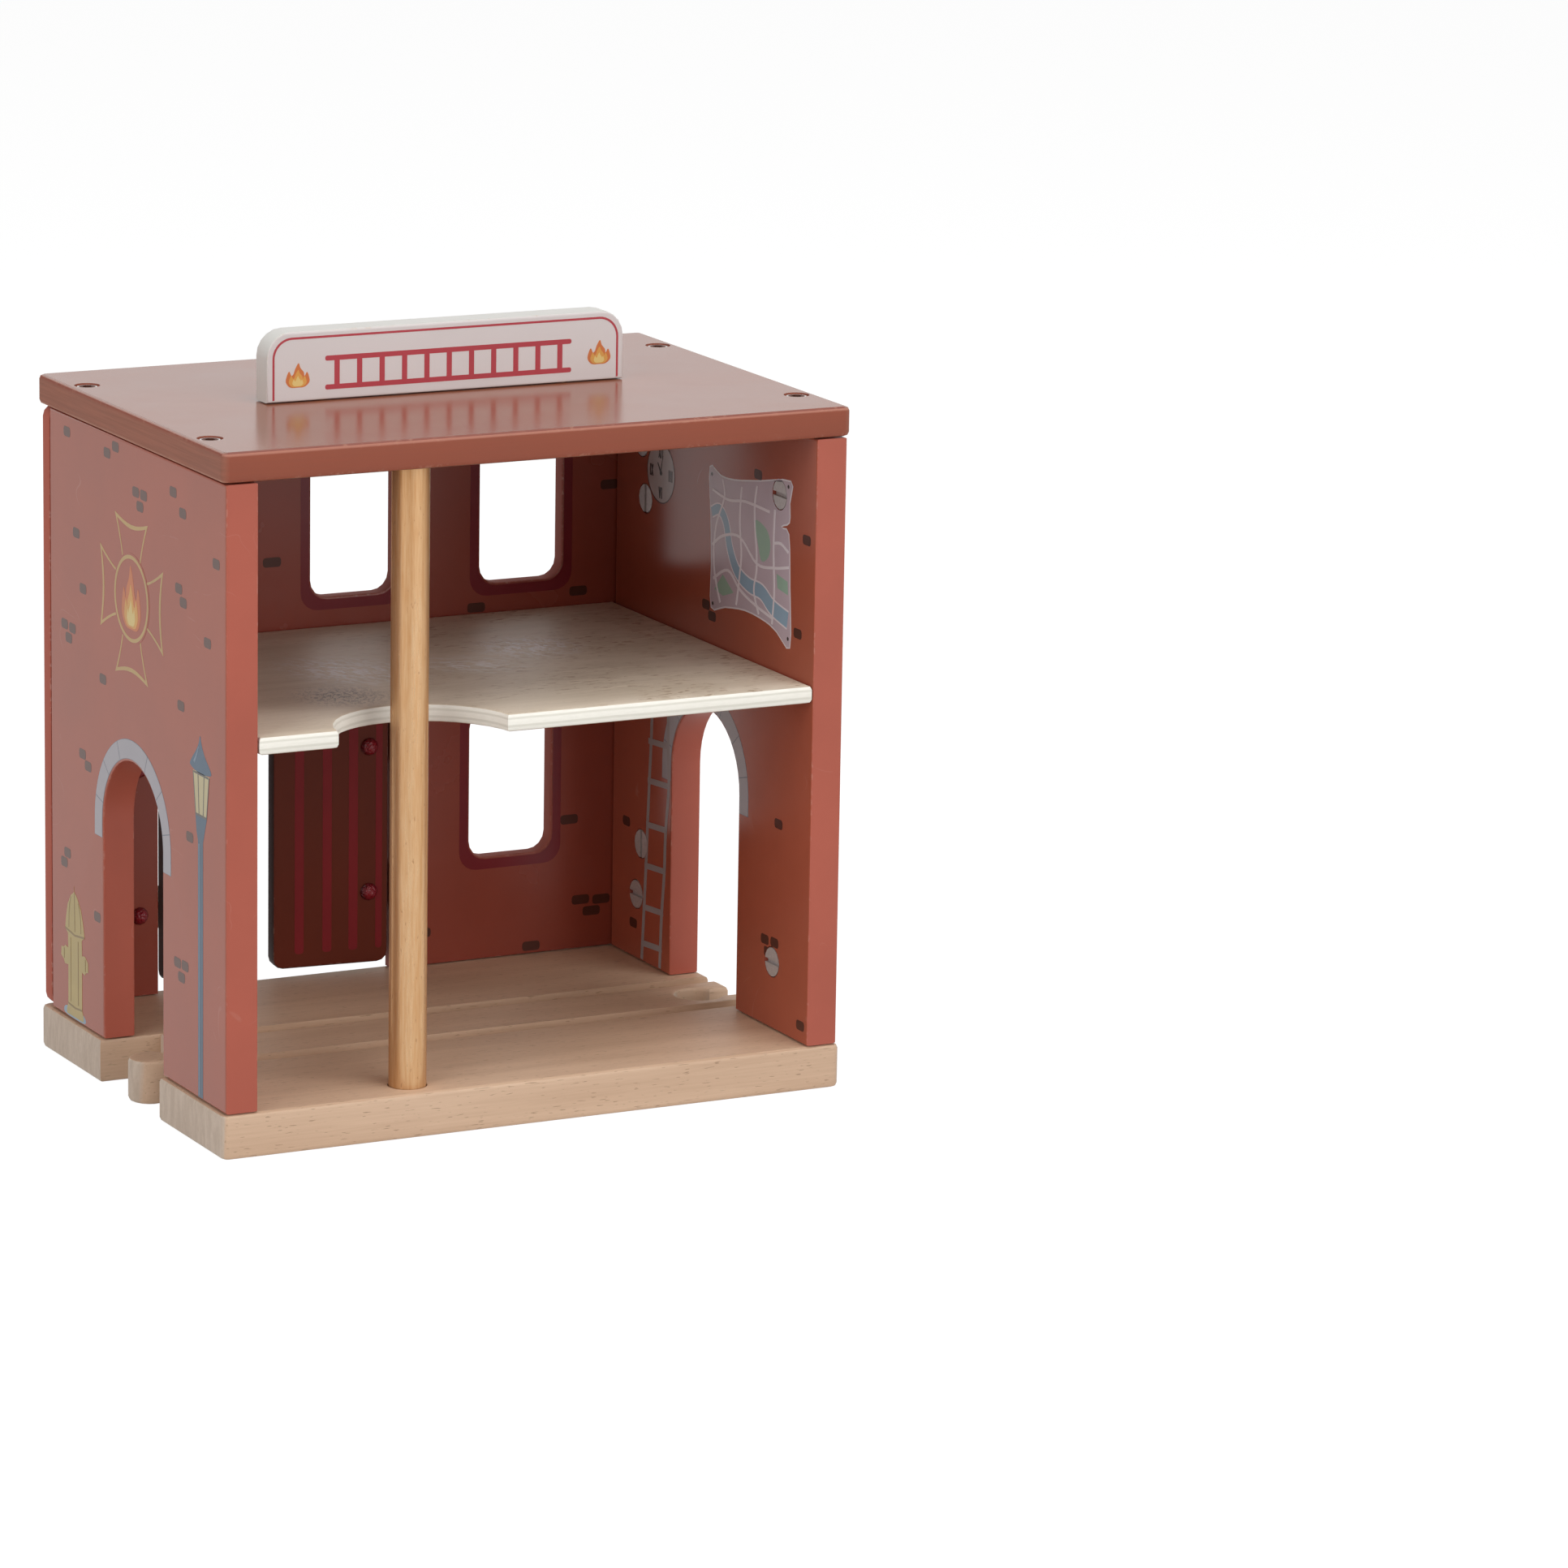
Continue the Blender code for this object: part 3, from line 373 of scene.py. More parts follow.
# ---- Upper floor ----
# Birch plywood, limed pale: the broad faces are one veneer with fine grain along the house and some
# scuffs, and the sawn edges show the plies.
ply_top = (0.83, 0.725, 0.585, 1)
ply_dark = (0.64, 0.54, 0.41, 1)
ply_pore = (0.36, 0.225, 0.125, 1)
ply_edge_pale = (0.96, 0.93, 0.845, 1)
ply_edge_dark = (0.79, 0.76, 0.67, 1)
scratch_pale = (0.95, 0.93, 0.90, 1)
scratch_dark = (0.24, 0.2, 0.165, 1)
floor_low, floor_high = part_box("upper_floor")
limed_birch, shader = start_finish("limed_birch_ply", IOR=1.45)
place, facing = surface(shader)
where = node("ShaderNodeSeparateXYZ", {0: place}).outputs
veneer = put_group(wood_grain, {
    "Place": place, "Pale": ply_top, "Dark": ply_dark, "Pore": ply_pore, "Pores": 0.35, "End Grain": 0.0
})
level = spread(where[2], floor_low.z, floor_high.z)
wander = swing(noise(place, (45, 45, 250), 3), 0.12)
plies = node("ShaderNodeValToRGB", {0: plus(level, wander)})
for end in plies.color_ramp.elements:
    end.color = ply_edge_pale
ply_stops = (0.22, 0.28, 0.35, 0.41, 0.64, 0.69, 0.75, 0.8)
for stop, colour in zip(ply_stops, (ply_edge_pale, ply_edge_dark, ply_edge_dark, ply_edge_pale) * 2):
    plies.color_ramp.elements.new(stop).color = colour
sawn = spread(noise(place, (500, 500, 2500), 3, 0.6), 0.45, 0.75)
edge_colour = mix(times(sawn, 0.3), plies.outputs[0], ply_edge_dark)
broad = spread(unsigned(facing[2]), 0.75, 0.9)


def scratched(place, middle, reach, turn, fineness):
    """Short curved scratches, thick round a middle and thinning out at its reach."""
    inputs = {
        "Vector": place, "Location": (*middle, floor_high.z), "Rotation": (0, 0, turn), "Scale": (*reach, 1)
    }
    placed = node("ShaderNodeMapping", inputs, vector_type="TEXTURE").outputs[0]
    away = vectors("LENGTH", placed)["Value"]
    lines = unsigned(minus(noise(placed, (fineness, fineness * 0.4, 0), 2, 0.6, 1.6), 0.5))
    pieces = noise(placed, (fineness, fineness * 0.6, 0), 2, 0.6)
    fading = times(spread(away, 1.0, 0.3), spread(lines, 0.1, 0.045))
    return times(fading, spread(pieces, 0.42, 0.54))


rightward = spread(where[0], -0.03, 0.035, 0.15, 1.0)
dash_patches = times(spread(noise(place, 45), 0.4, 0.55), rightward)
long_dashes = spread(noise(place, (260, 640, 0), 2, 0.5, 0.4), 0.57, 0.65)
ridges = spread(noise(place, (90, 420, 0), 3, 0.6, 0.5), 0.42, 0.6)
smudges = spread(noise(place, (28, 28, 0), 3, 0.55), 0.52, 0.72)
top_colour = mix(times(long_dashes, dash_patches, 0.85), veneer["Color"], ply_pore)
top_colour = mix(times(ridges, dash_patches, 0.75), top_colour, ply_dark)
top_colour = mix(times(smudges, 0.35), top_colour, ply_dark)
for middle, reach, turn, fineness, colour, strength in (
    ((-0.0255, 0.001), (0.019, 0.026), 0.5, 8, scratch_pale, 1.0),
    ((-0.040, -0.026), (0.016, 0.015), -0.5, 11, scratch_dark, 0.9),
    ((0.031, 0.010), (0.018, 0.017), 0.3, 6, scratch_pale, 1.0),
    ((0.008, -0.004), (0.013, 0.019), 0.9, 5, scratch_pale, 0.8),
):
    scratches = scratched(place, middle, reach, turn, fineness)
    top_colour = mix(times(scratches, strength), top_colour, colour)
rough = spread(veneer["Height"], -0.3, 0.5, 0.6, 0.42)
finish(shader, mix(broad, edge_colour, top_colour), rough, veneer["Height"], wood_relief)
dress("upper_floor", limed_birch)

# ---- Fire pole ----
# A ten millimetre dowel from the base to the roof, brushed along its length with satin gold paint, which
# mirrors the red walls at its sides. Streaks of the brush run down it, with tiny flecks that the paint missed.
gold_light = (0.66, 0.43, 0.24, 1)
gold_deep = (0.51, 0.255, 0.1, 1)
gold_bare = (0.30, 0.14, 0.06, 1)
gold_gleam = (1, 0.6, 0.34, 1)
brush_relief = 0.00005
gold, shader = start_finish(
    "gold_paint_on_wood", Metallic=0.45, IOR=1.5, Specular_IOR_Level=0.2, Specular_Tint=gold_gleam
)
place = surface(shader)[0]
streaks = noise(place, (420, 420, 9), 3, 0.55)
hairs = noise(place, (1900, 1900, 110), 2, 0.6)
flecks = noise(place, (1500, 1500, 420), 2, 0.6)
tone = blend(spread(streaks, 0.34, 0.66), spread(hairs, 0.36, 0.64), 0.6)
missed = times(spread(flecks, 0.66, 0.74), 0.5)
colour = mix(missed, mix(tone, gold_deep, gold_light), gold_bare)
height = minus(times(hairs, 0.6), missed)
finish(shader, colour, spread(tone, 0, 1, 0.36, 0.26), height, brush_relief)
dress("fire_pole", gold)

# ---- Roof board ----
# Eight millimetres thick, lacquered a browner red to a satin gloss that mirrors the sign. The grain of the
# board shows faintly through the lacquer on the edges. A painted highlight runs along the tops of the long
# edges, with a painted shade line just above it.
roof_brown = (0.265, 0.082, 0.040, 1)
roof_edge_brown = (0.255, 0.056, 0.025, 1)
roof_grain = (0.15, 0.055, 0.03, 1)
roof_rim = (0.2, 0.04, 0.02, 1)
roof_painted_highlight = (0.56, 0.26, 0.19, 1)
rubbed_brown = (0.52, 0.28, 0.2, 1)
lacquer_relief = 0.000012
grain_depth = 6.0
roof_low, roof_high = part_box("roof")
roof_lacquer, shader = start_finish("roof_lacquer", IOR=1.5)
place, facing = surface(shader)
outward = unsigned(facing[2])
broad = spread(outward, 0.9, 0.97)
lengthways = spread(noise(place, (30, 30, 1500), 4, 0.65, 0.3), 0.3, 0.62)
level = spread(node("ShaderNodeSeparateXYZ", {0: place}).outputs[2], roof_low.z, roof_high.z)
level = plus(level, swing(noise(place, 55), 0.12))
core = band(level, 0.06, 0.14, 0.84, 0.92)
edges = minus(1.0, broad)
at_end = times(edges, unsigned(facing[0]))
grain_strength = plus(times(edges, 0.1), times(at_end, 0.3))
under_edge = times(lengthways, times(core, grain_strength))
pale_end = times(at_end, spread(level, 0.12, 0.03, 0.28, 0.85))
end_rim = times(at_end, spread(level, 0.84, 0.93, 0, 0.8))
lengthwise_edge = spread(unsigned(facing[1]), 0.15, 0.3)
# Painted highlight on the lower part of the long edges' top rounding, and painted shade on its upper part.
painted_highlight_band = band(facing[2], 0.12, 0.25, 0.5, 0.62)
painted_shade_band = band(facing[2], 0.52, 0.64, 0.96, 0.99)
colour = mix(broad, roof_edge_brown, roof_brown)
for share, over in (
    (pale_end, rubbed_brown), (end_rim, roof_rim), (under_edge, roof_grain),
    (times(painted_highlight_band, lengthwise_edge, 0.5), roof_painted_highlight), (times(painted_shade_band, lengthwise_edge, 0.9), roof_rim),
):
    colour = mix(share, colour, over)
film = put_group(paint_film, {
    "Place": place, "Paint": colour, "Rubbed": rubbed_brown, "Broad": outward, "Wear": 0.3, "Scuffs": 0.0,
    "Roughness": spread(broad, 0, 1, 0.7, 0.2), "Mottle": 0.05,
})
height = plus(film["Height"], times(under_edge, grain_depth))
finish(shader, film["Color"], film["Roughness"], height, lacquer_relief)
dress("roof", roof_lacquer)

# ---- Sign board ----
# A white painted board with rounded top corners, held on the roof by two beech dowels. Its print stands
# in the section on prints.
sign_white = (0.68, 0.665, 0.63, 1)
sign_face = (0.64, 0.60, 0.595, 1)
sign_rubbed = (0.62, 0.5, 0.38, 1)
dress("sign_board", paint("white_sign_paint", sign_white, sign_face, 1, sign_rubbed, 0.4, 0.5, mottle=0.02))
dowel_beech = beech.copy()
dowel_beech.name = "dowel_beech"
for side in ("left", "right"):
    dress(side + "_sign_dowel", dowel_beech)

# ---- Bolts, barrel nuts and floor pins ----
# Zinc-plated steel: four bolts each through the roof, the base and the back wall, each drawn into a
# slotted barrel nut in a side wall, and four plain pins that carry the upper floor.
zinc_light = (0.70, 0.70, 0.69, 1)
zinc_dull = (0.42, 0.42, 0.42, 1)
zinc_bright = (0.9, 0.88, 0.86, 1)
nut_light = (0.62, 0.575, 0.56, 1)
nut_dull = (0.46, 0.43, 0.42, 1)
# Grime and painted shade for the roof bolts' sockets, where a deeper recess would lie in shadow.
socket_grime_and_shade = (0.10, 0.04, 0.028, 1)
socket_reach = 0.0023
metal_relief = 0.000012


def steel(name, light, dull, roughness, grime_and_shade=None, bareness=1.0):
    """Metal with a spangle and fine scratches. Grime and painted shade darken it inside a radius round a place in
    plan.
    """
    material, shader = start_finish(name, Metallic=bareness)
    place = surface(shader)[0]
    spangle = noise(place, 900, 3, 0.6)
    scratch = noise(place, (500, 3000, 3000), 3, 0.6)
    tone = blend(spread(spangle, 0.3, 0.7), spread(scratch, 0.3, 0.7), 0.6)
    colour = mix(tone, dull, light)
    rough = spread(tone, 0, 1, roughness + 0.12, roughness)
    if grime_and_shade:
        middle, reach, grime_and_shade_colour = grime_and_shade
        aside = vectors("SUBTRACT", vectors("ABSOLUTE", place)[0], middle)[0]
        away = vectors("LENGTH", vectors("MULTIPLY", aside, (1, 1, 0))[0])["Value"]
        grimy_and_shaded = spread(away, reach * 1.1, reach * 0.9)
        colour = mix(grimy_and_shaded, colour, grime_and_shade_colour)
        rough = maths("MAXIMUM", rough, times(grimy_and_shaded, 0.6))
    finish(shader, colour, rough, scratch, metal_relief)
    return material


zinc = steel("zinc_plated_steel", zinc_light, zinc_dull, 0.3)
nut_zinc = steel("dull_zinc_of_the_nuts", nut_light, nut_dull, 0.4, bareness=0.35)
bolt_low, bolt_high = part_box("roof_right_rear_bolt")
# The roof bolts' heads are darkened inside the socket's reach: partly grime, partly painted shade.
grime_and_shade = ((bolt_low + bolt_high) / 2, socket_reach, socket_grime_and_shade)
roof_zinc = steel("zinc_with_grime_and_painted_shade_in_the_socket", zinc_bright, zinc_light, 0.12, grime_and_shade)
for board, metal in (("base", zinc), ("roof", roof_zinc)):
    for corner in ("left_front", "left_rear", "right_front", "right_rear"):
        dress(f"{board}_{corner}_bolt", metal)
        dress(f"{board}_{corner}_nut", nut_zinc)
for side in ("left", "right"):
    for level in ("lower", "upper"):
        dress(f"back_{side}_{level}_bolt", zinc)
        dress(f"back_{side}_{level}_nut", nut_zinc)
    for end in ("front", "rear"):
        dress(f"{side}_{end}_floor_pin", zinc)

# ---- Door leaves and hinges ----
# Two thin leaves painted dark brown, each on two butt hinges behind the back wall. The rivets' domes on
# the inside are dipped in glossy crimson. Each leaf stands open by some degrees at rest, as in the photo.
door_brown = (0.125, 0.0215, 0.0095, 1)
door_edge = (0.10, 0.075, 0.072, 1)
door_rubbed = (0.32, 0.2, 0.16, 1)
dome_red = (0.27, 0.008, 0.02, 1)
dome_painted_shade = (0.03, 0.004, 0.005, 1)
hinge_light = (0.74, 0.72, 0.67, 1)
hinge_dull = (0.5, 0.48, 0.44, 1)
drip_relief = 0.0007
leaf_turns = {"left": math.radians(35), "right": math.radians(-5)}
dome_paint, shader = start_finish("crimson_dome_paint", IOR=1.5)
place, facing = surface(shader)
drips = noise(place, 1100, 2, 0.55, 0.6)
# Painted shade darkens each dome towards its rim, where it turns away from the front.
painted_shade_at_rim = times(spread(unsigned(facing[1]), 0.8, 0.45), spread(drips, 0.3, 0.6, 0.7, 1.0))
rough = spread(drips, 0.3, 0.7, 0.05, 0.16)
finish(shader, mix(painted_shade_at_rim, dome_red, dome_painted_shade), rough, drips, drip_relief)
hinge_metal = steel("hinge_steel", hinge_light, hinge_dull, 0.32)
for side, turn in leaf_turns.items():
    door_paint = paint(
        side + "_dark_brown_door_paint", door_edge, door_brown, 1, door_rubbed, 0.6, 0.5,
        face_roughness=0.4, shine=0.12, turned=turn,
    )
    dress(side + "_door", door_paint)
    for level in ("lower", "upper"):
        for piece in ("wall_plate", "door_plate", "pin"):
            dress(f"{side}_{level}_hinge_{piece}", hinge_metal)
        for piece in ("wall_rivet", "door_rivet"):
            dress(f"{side}_{level}_hinge_{piece}", dome_paint)

# ---- Prints on the left wall's outside ----
# The broad faces are printed before the house is put together: brick marks, a stone arch round the
# opening, a street lamp, a water hydrant and a round emblem. Outlines are in millimetres, as (Y, Z).
brick_ink_colour = (0.115, 0.05, 0.035, 1)
stone_colour = (0.40, 0.375, 0.405, 1)
joint_colour = (0.20, 0.215, 0.25, 1)
lamp_blue = (0.075, 0.125, 0.185, 1)
lamp_sheen = (0.2, 0.26, 0.34, 1)
lamp_cream = (0.56, 0.475, 0.27, 1)
lamp_shade = (0.125, 0.115, 0.105, 1)
hydrant_yellow = (0.47, 0.345, 0.115, 1)
hydrant_line = (0.27, 0.175, 0.055, 1)
puddle_blue = (0.27, 0.37, 0.46, 1)
emblem_tan = (0.52, 0.335, 0.12, 1)
flame_orange = (0.58, 0.17, 0.05, 1)
flame_amber = (0.66, 0.335, 0.075, 1)
flame_yellow = (0.72, 0.54, 0.2, 1)
film_thickness = 0.03
overlap_lift = 0.08
wall_outside, wall_inside = 0.089, 0.08
nut_clearance = 4.25
wall_nuts = ((-41.5, 30.7), (41.5, 30.7), (-41.5, 159.3), (41.5, 159.3), (38.8, 45.7), (38.8, 143.9))


def ink(name, colour, mottle=0.05, roughness=0.22, shine=0.25):
    """A printed colour: a thin film with a slight unevenness."""
    return paint(name, colour, colour, 0, colour, roughness, 0, mottle=mottle, shine=shine)


def upright(across, outward, depth):
    """Takes millimetres across and up, and out from a face, to their place in the house."""
    across, outward = Vector(across), Vector(outward)
    turn = Matrix((across, Vector((0, 0, 1)), outward)).transposed().to_4x4()
    return Matrix.Translation(outward * depth) @ turn @ Matrix.Scale(0.001, 4)


def printed(name, face, outlines, colour, layer=1, body="station", crossing=False):
    """A film of ink from closed outlines. One inside another is a gap in it, unless they may cross."""
    inked = bmesh.new()
    for pass_number, shapes in enumerate([[outline] for outline in outlines] if crossing else [outlines]):
        data = bpy.data.curves.new(name, "CURVE")
        data.dimensions = "2D"
        data.fill_mode = "BOTH"
        data.extrude = film_thickness * (layer + overlap_lift * pass_number)
        for outline in shapes:
            spline = data.splines.new("POLY")
            spline.points.add(len(outline) - 1)
            for point, place in zip(spline.points, outline):
                point.co = (*place, 0, 1)
            spline.use_cyclic_u = True
        drawn = in_scene(name, data)
        filled = bpy.data.meshes.new_from_object(drawn.evaluated_get(bpy.context.evaluated_depsgraph_get()))
        inked.from_mesh(filled)
        bpy.data.objects.remove(drawn)
        bpy.data.meshes.remove(filled)
    film = bpy.data.meshes.new(name)
    inked.to_mesh(film)
    inked.free()
    film.shade_flat()
    film.transform(face)
    if face.determinant() < 0:
        film.flip_normals()
    film.materials.clear()
    film.materials.append(colour)
    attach(in_scene(name, film), body)


def circle(across, up, radius, steps=32, start=0.0, turn=2 * math.pi):
    """A circle, or an arc with both its ends where the turn is less than a full one."""
    angles = [start + turn * step / steps for step in range(steps + (turn < 2 * math.pi))]
    return [(across + radius * math.cos(angle), up + radius * math.sin(angle)) for angle in angles]


def soft_box(across, up, width, height, corner, steps=2):
    """A box round its middle, with rounded corners."""
    outline = []
    for quarter, (right, top) in enumerate(((1, 1), (-1, 1), (-1, -1), (1, -1))):
        middle = (across + right * (width / 2 - corner), up + top * (height / 2 - corner))
        outline += circle(*middle, corner, steps, quarter * math.pi / 2, math.pi / 2)
    return outline


def flowing(points, steps=5, closed=True):
    """A smooth line through the points given: a Catmull-Rom spline."""
    count = len(points)
    line = []
    for index in range(count if closed else count - 1):
        near = [index + offset for offset in (-1, 0, 1, 2)]
        near = [points[one % count if closed else min(max(one, 0), count - 1)] for one in near]
        for step in range(steps):
            t = step / steps
            line.append(tuple(
                0.5 * (2 * b + (c - a) * t + (2 * a - 5 * b + 4 * c - d) * t * t + (3 * b - a - 3 * c + d) * t * t * t)
                for a, b, c, d in zip(*near)
            ))
    return line if closed else line + [tuple(points[-1])]


def stroke(points, width, end_width=None):
    """The outline of a line of some width along the points."""
    sides = ([], [])
    for index, (across, up) in enumerate(points):
        ahead = points[min(index + 1, len(points) - 1)]
        behind = points[max(index - 1, 0)]
        run = math.dist(ahead, behind)
        share = index / (len(points) - 1)
        half = (width + (end_width or width) * share - width * share) / 2
        side = (-(ahead[1] - behind[1]) / run * half, (ahead[0] - behind[0]) / run * half)
        sides[0].append((across + side[0], up + side[1]))
        sides[1].append((across - side[0], up - side[1]))
    return sides[0] + sides[1][::-1]


def brush(points, width, end_width=None, steps=4):
    """A smooth stroke through the points."""
    return stroke(flowing(points, steps, False), width, end_width)


def clear_of(outline, nuts, step=0.5):
    """An outline that goes round the nuts instead of over them."""
    cleared = []
    for here, there in zip(outline, outline[1:] + outline[:1]):
        pieces = max(1, round(math.dist(here, there) / step))
        for piece in range(pieces):
            point = [a + (b - a) * piece / pieces for a, b in zip(here, there)]
            for nut in nuts:
                away = math.dist(point, nut)
                if away < nut_clearance:
                    point = [n + (p - n) * nut_clearance / max(away, 0.01) for p, n in zip(point, nut)]
            cleared.append(tuple(point))
    return cleared


def bricks(places, width=4.6, height=2.7, corner=0.8):
    return [soft_box(across, up, width, height, corner) for across, up in places]


def stone_arch(spring, inner, outer, foot, joints, gap=0.14):
    """The plain ring that shows as joints, and the stones on it. The end stones reach down to the foot."""
    def rim(radius, start, end, steps=8):
        return circle(0, spring, radius, steps, start, end - start)

    ring = [(outer, foot)] + rim(outer, 0, math.pi, 40) + [(-outer, foot), (-inner, foot)]
    ring += rim(inner, math.pi, 0, 40) + [(inner, foot)]
    stones = []
    edges = [0.0] + [math.radians(angle) for angle in joints] + [math.pi]
    low, high = inner + gap, outer - gap
    for index, (start, end) in enumerate(zip(edges, edges[1:])):
        first, last = index == 0, index == len(joints)
        before, after = gap * (not first), gap * (not last)
        stone = [(low, foot + gap), (high, foot + gap)] if first else []
        stone += rim(high, start + before / outer, end - after / outer)
        stone += [(-high, foot + gap), (-low, foot + gap)] if last else []
        stones.append(stone + rim(low, end - after / inner, start + before / inner))
    return [ring], stones


left_outside = upright((0, 1, 0), (-1, 0, 0), wall_outside)
brick_ink = ink("brick_mark_ink", brick_ink_colour)
stone_ink = ink("stone_ink", stone_colour, 0.08)
joint_ink = ink("stone_joint_ink", joint_colour)
left_brick_places = (
    (44.8, 173.3), (11, 175), (16.8, 172.4), (-2.8, 165.4), (-8.1, 165.4), (-5.6, 162), (-27.9, 169.9),
    (-34.2, 165.4), (38.5, 147), (-56.1, 156.2), (33.9, 132.7), (-31.5, 145.2), (-34.5, 142), (47, 120.7),
    (41.5, 120.5), (44.1, 117.4), (-50.4, 134.5), (20.2, 110.9), (-32.9, 114.5), (34.7, 87.5), (30.8, 84.9),
    (45.7, 57.9), (48, 54.9), (-38.7, 80.9), (24.7, 44.9), (-30.4, 45.4), (-35.5, 45.6), (-33.1, 42),
)
arch_ring, arch_stones = stone_arch(72.2, 20.9, 26.2, 67.5, (14, 40, 66.6, 113.4, 140, 166))


def print_wall(name, face, brick_outlines, brick_colour=brick_ink):
    """What every face of the side walls has: brick marks, and the stones round its arch."""
    printed(name + "_brick_marks", face, brick_outlines, brick_colour)
    printed(name + "_arch_joints", face, arch_ring, joint_ink)
    printed(name + "_arch_stones", face, arch_stones, stone_ink, layer=2)


print_wall("left_wall", left_outside, bricks(left_brick_places))

lamp_iron_ink = ink("lamp_iron_ink", lamp_blue, 0.16)
lamp_glass_ink = ink("lamp_glass_ink", lamp_cream, 0.1)
lamp_bar_ink = ink("lamp_bar_ink", lamp_shade)
lamp_cap = flowing([
    (-45.6, 109.2), (-46.6, 106.9), (-48.7, 104.2), (-51.6, 101.9), (-52.9, 100.2), (-49.5, 99.4),
    (-45.9, 99.2), (-42.4, 99.5), (-39, 100.5), (-40.2, 102.4), (-42.9, 104.9), (-44.6, 107),
], 4)
lamp_post = [
    (-42.5, 88), (-43.2, 83.6), (-44.1, 81.2), (-44.2, 12.7), (-47.4, 12.7), (-47.5, 81.2), (-48.4, 83.6),
    (-50, 88),
]
lamp_glass = [(-40.9, 99.4), (-42.6, 88), (-49.9, 88), (-51.7, 99.4)]
lamp_bars = [
    stroke([(top, 99.2), (foot, 87.9)], 0.4)
    for top, foot in ((-41, -42.7), (-44.2, -44.9), (-48.2, -47.6), (-51.5, -49.8))
]
lamp_rims = [soft_box(-46.2, 99, 9.6, 0.5, 0.2), soft_box(-46.2, 88.1, 7.4, 0.6, 0.2)]
printed("street_lamp_iron", left_outside, [lamp_cap, lamp_post], lamp_iron_ink)
printed("street_lamp_glass", left_outside, [lamp_glass], lamp_glass_ink)
printed("street_lamp_bars", left_outside, lamp_bars + lamp_rims, lamp_bar_ink, layer=2, crossing=True)
lamp_lights = [
    stroke([(-44.9, 80.5), (-44.9, 13.2)], 0.55),
    brush([(-44.6, 106.2), (-43.2, 103.6), (-41.6, 101.6)], 0.25, 0.9),
]
printed("street_lamp_highlights", left_outside, lamp_lights, ink("lamp_highlight_ink", lamp_sheen), layer=2)

hydrant_ink = ink("hydrant_ink", hydrant_yellow, 0.12)
hydrant_line_ink = ink("hydrant_line_ink", hydrant_line)
puddle = flowing([
    (48.6, 13.6), (47.6, 15), (44, 15.5), (40, 15.3), (35.5, 15.2), (33.2, 14), (34.2, 12.9),
    (40, 12.7), (46.5, 12.8),
], 4)
hydrant_shape = [
    (41.2, 49.6), (41.1, 48), (43.5, 46.6), (45.8, 43.6), (46.8, 40.4), (47.5, 36.9), (45.6, 35.6), (45.4, 31.6),
    (47.6, 31.9), (48.3, 31.2), (50.3, 31), (50.5, 28.6), (48.4, 27.6), (47.8, 26.7), (45.4, 26.9), (45.5, 16.4),
    (46.6, 14.2), (46.3, 13.2), (34.9, 13.2), (34.6, 14.2), (35.7, 16.4), (35.6, 26.9), (33.4, 26.6), (32.9, 27.4),
    (31.3, 27.8), (31.4, 30.4), (33, 31.4), (33.8, 31.8), (35.6, 31.4), (35.8, 35.6), (33.8, 36.9), (34.9, 40.6),
    (36.3, 43.9), (39, 46.8), (41, 48),
]
printed("hydrant_puddle", left_outside, [puddle], ink("puddle_ink", puddle_blue))
printed("hydrant_body", left_outside, [hydrant_shape], hydrant_ink, layer=2)
hydrant_lines = [
    stroke([(47.4, 36.8), (40.6, 36), (33.9, 36.8)], 0.55),
    brush([(43.4, 46.2), (44.6, 42.8), (44.9, 37.4)], 0.35),
    brush([(40.9, 47.6), (40.8, 42.5), (40.6, 37)], 0.4),
    brush([(38.2, 45.4), (36.7, 42.2), (36.3, 37.4)], 0.35),
    stroke([(45.6, 16.2), (40.5, 15.8), (35.7, 16.2)], 0.5),
] + [
    stroke([(across, top), (across, foot)], width)
    for across, top, foot, width in (
        (38.3, 34.8, 17, 0.45), (43.6, 34.8, 17, 0.3), (48.3, 31, 28, 0.35), (33.2, 31, 27.6, 0.35)
    )
]
printed("hydrant_lines", left_outside, hydrant_lines, hydrant_line_ink, layer=3, crossing=True)

emblem_ink = ink("emblem_ink", emblem_tan, 0.1)
emblem_middle = (0.3, 136.4)
emblem_half = 21.5
emblem_line = 1.3


def cross_outline(middle, half, waist, horn, mouth, steps=8):
    """A cross of four flaring arms with hollow ends."""
    flare = [(waist + (horn - waist) * t ** 1.6, waist + (half - waist) * t) for t in (0.25, 0.5, 0.75, 1)]
    arm = [(waist, waist)] + flare
    shares = [step / steps for step in range(1, steps)]
    tip = [(horn - 2 * horn * share, half - mouth * math.sin(math.pi * share)) for share in shares]
    back = [(-across, up) for across, up in flare[::-1]]
    outline = []
    for quarter in range(4):
        run, rise = math.cos(quarter * math.pi / 2), math.sin(quarter * math.pi / 2)
        for across, up in arm + tip + back:
            outline.append((middle[0] + across * run - up * rise, middle[1] + across * rise + up * run))
    return outline


def flame(middle, foot, width, height):
    """A plain flame of three tongues, from shares of its width and height."""
    shares = (
        (0, 0), (0.3, 0.02), (0.5, 0.2), (0.49, 0.42), (0.4, 0.62), (0.3, 0.46), (0.26, 0.62), (0.12, 0.8),
        (0.04, 1), (-0.1, 0.78), (-0.18, 0.56), (-0.27, 0.5), (-0.36, 0.68), (-0.46, 0.5), (-0.5, 0.24),
        (-0.32, 0.02),
    )
    return flowing([(middle + across * width, foot + up * height) for across, up in shares], 4)


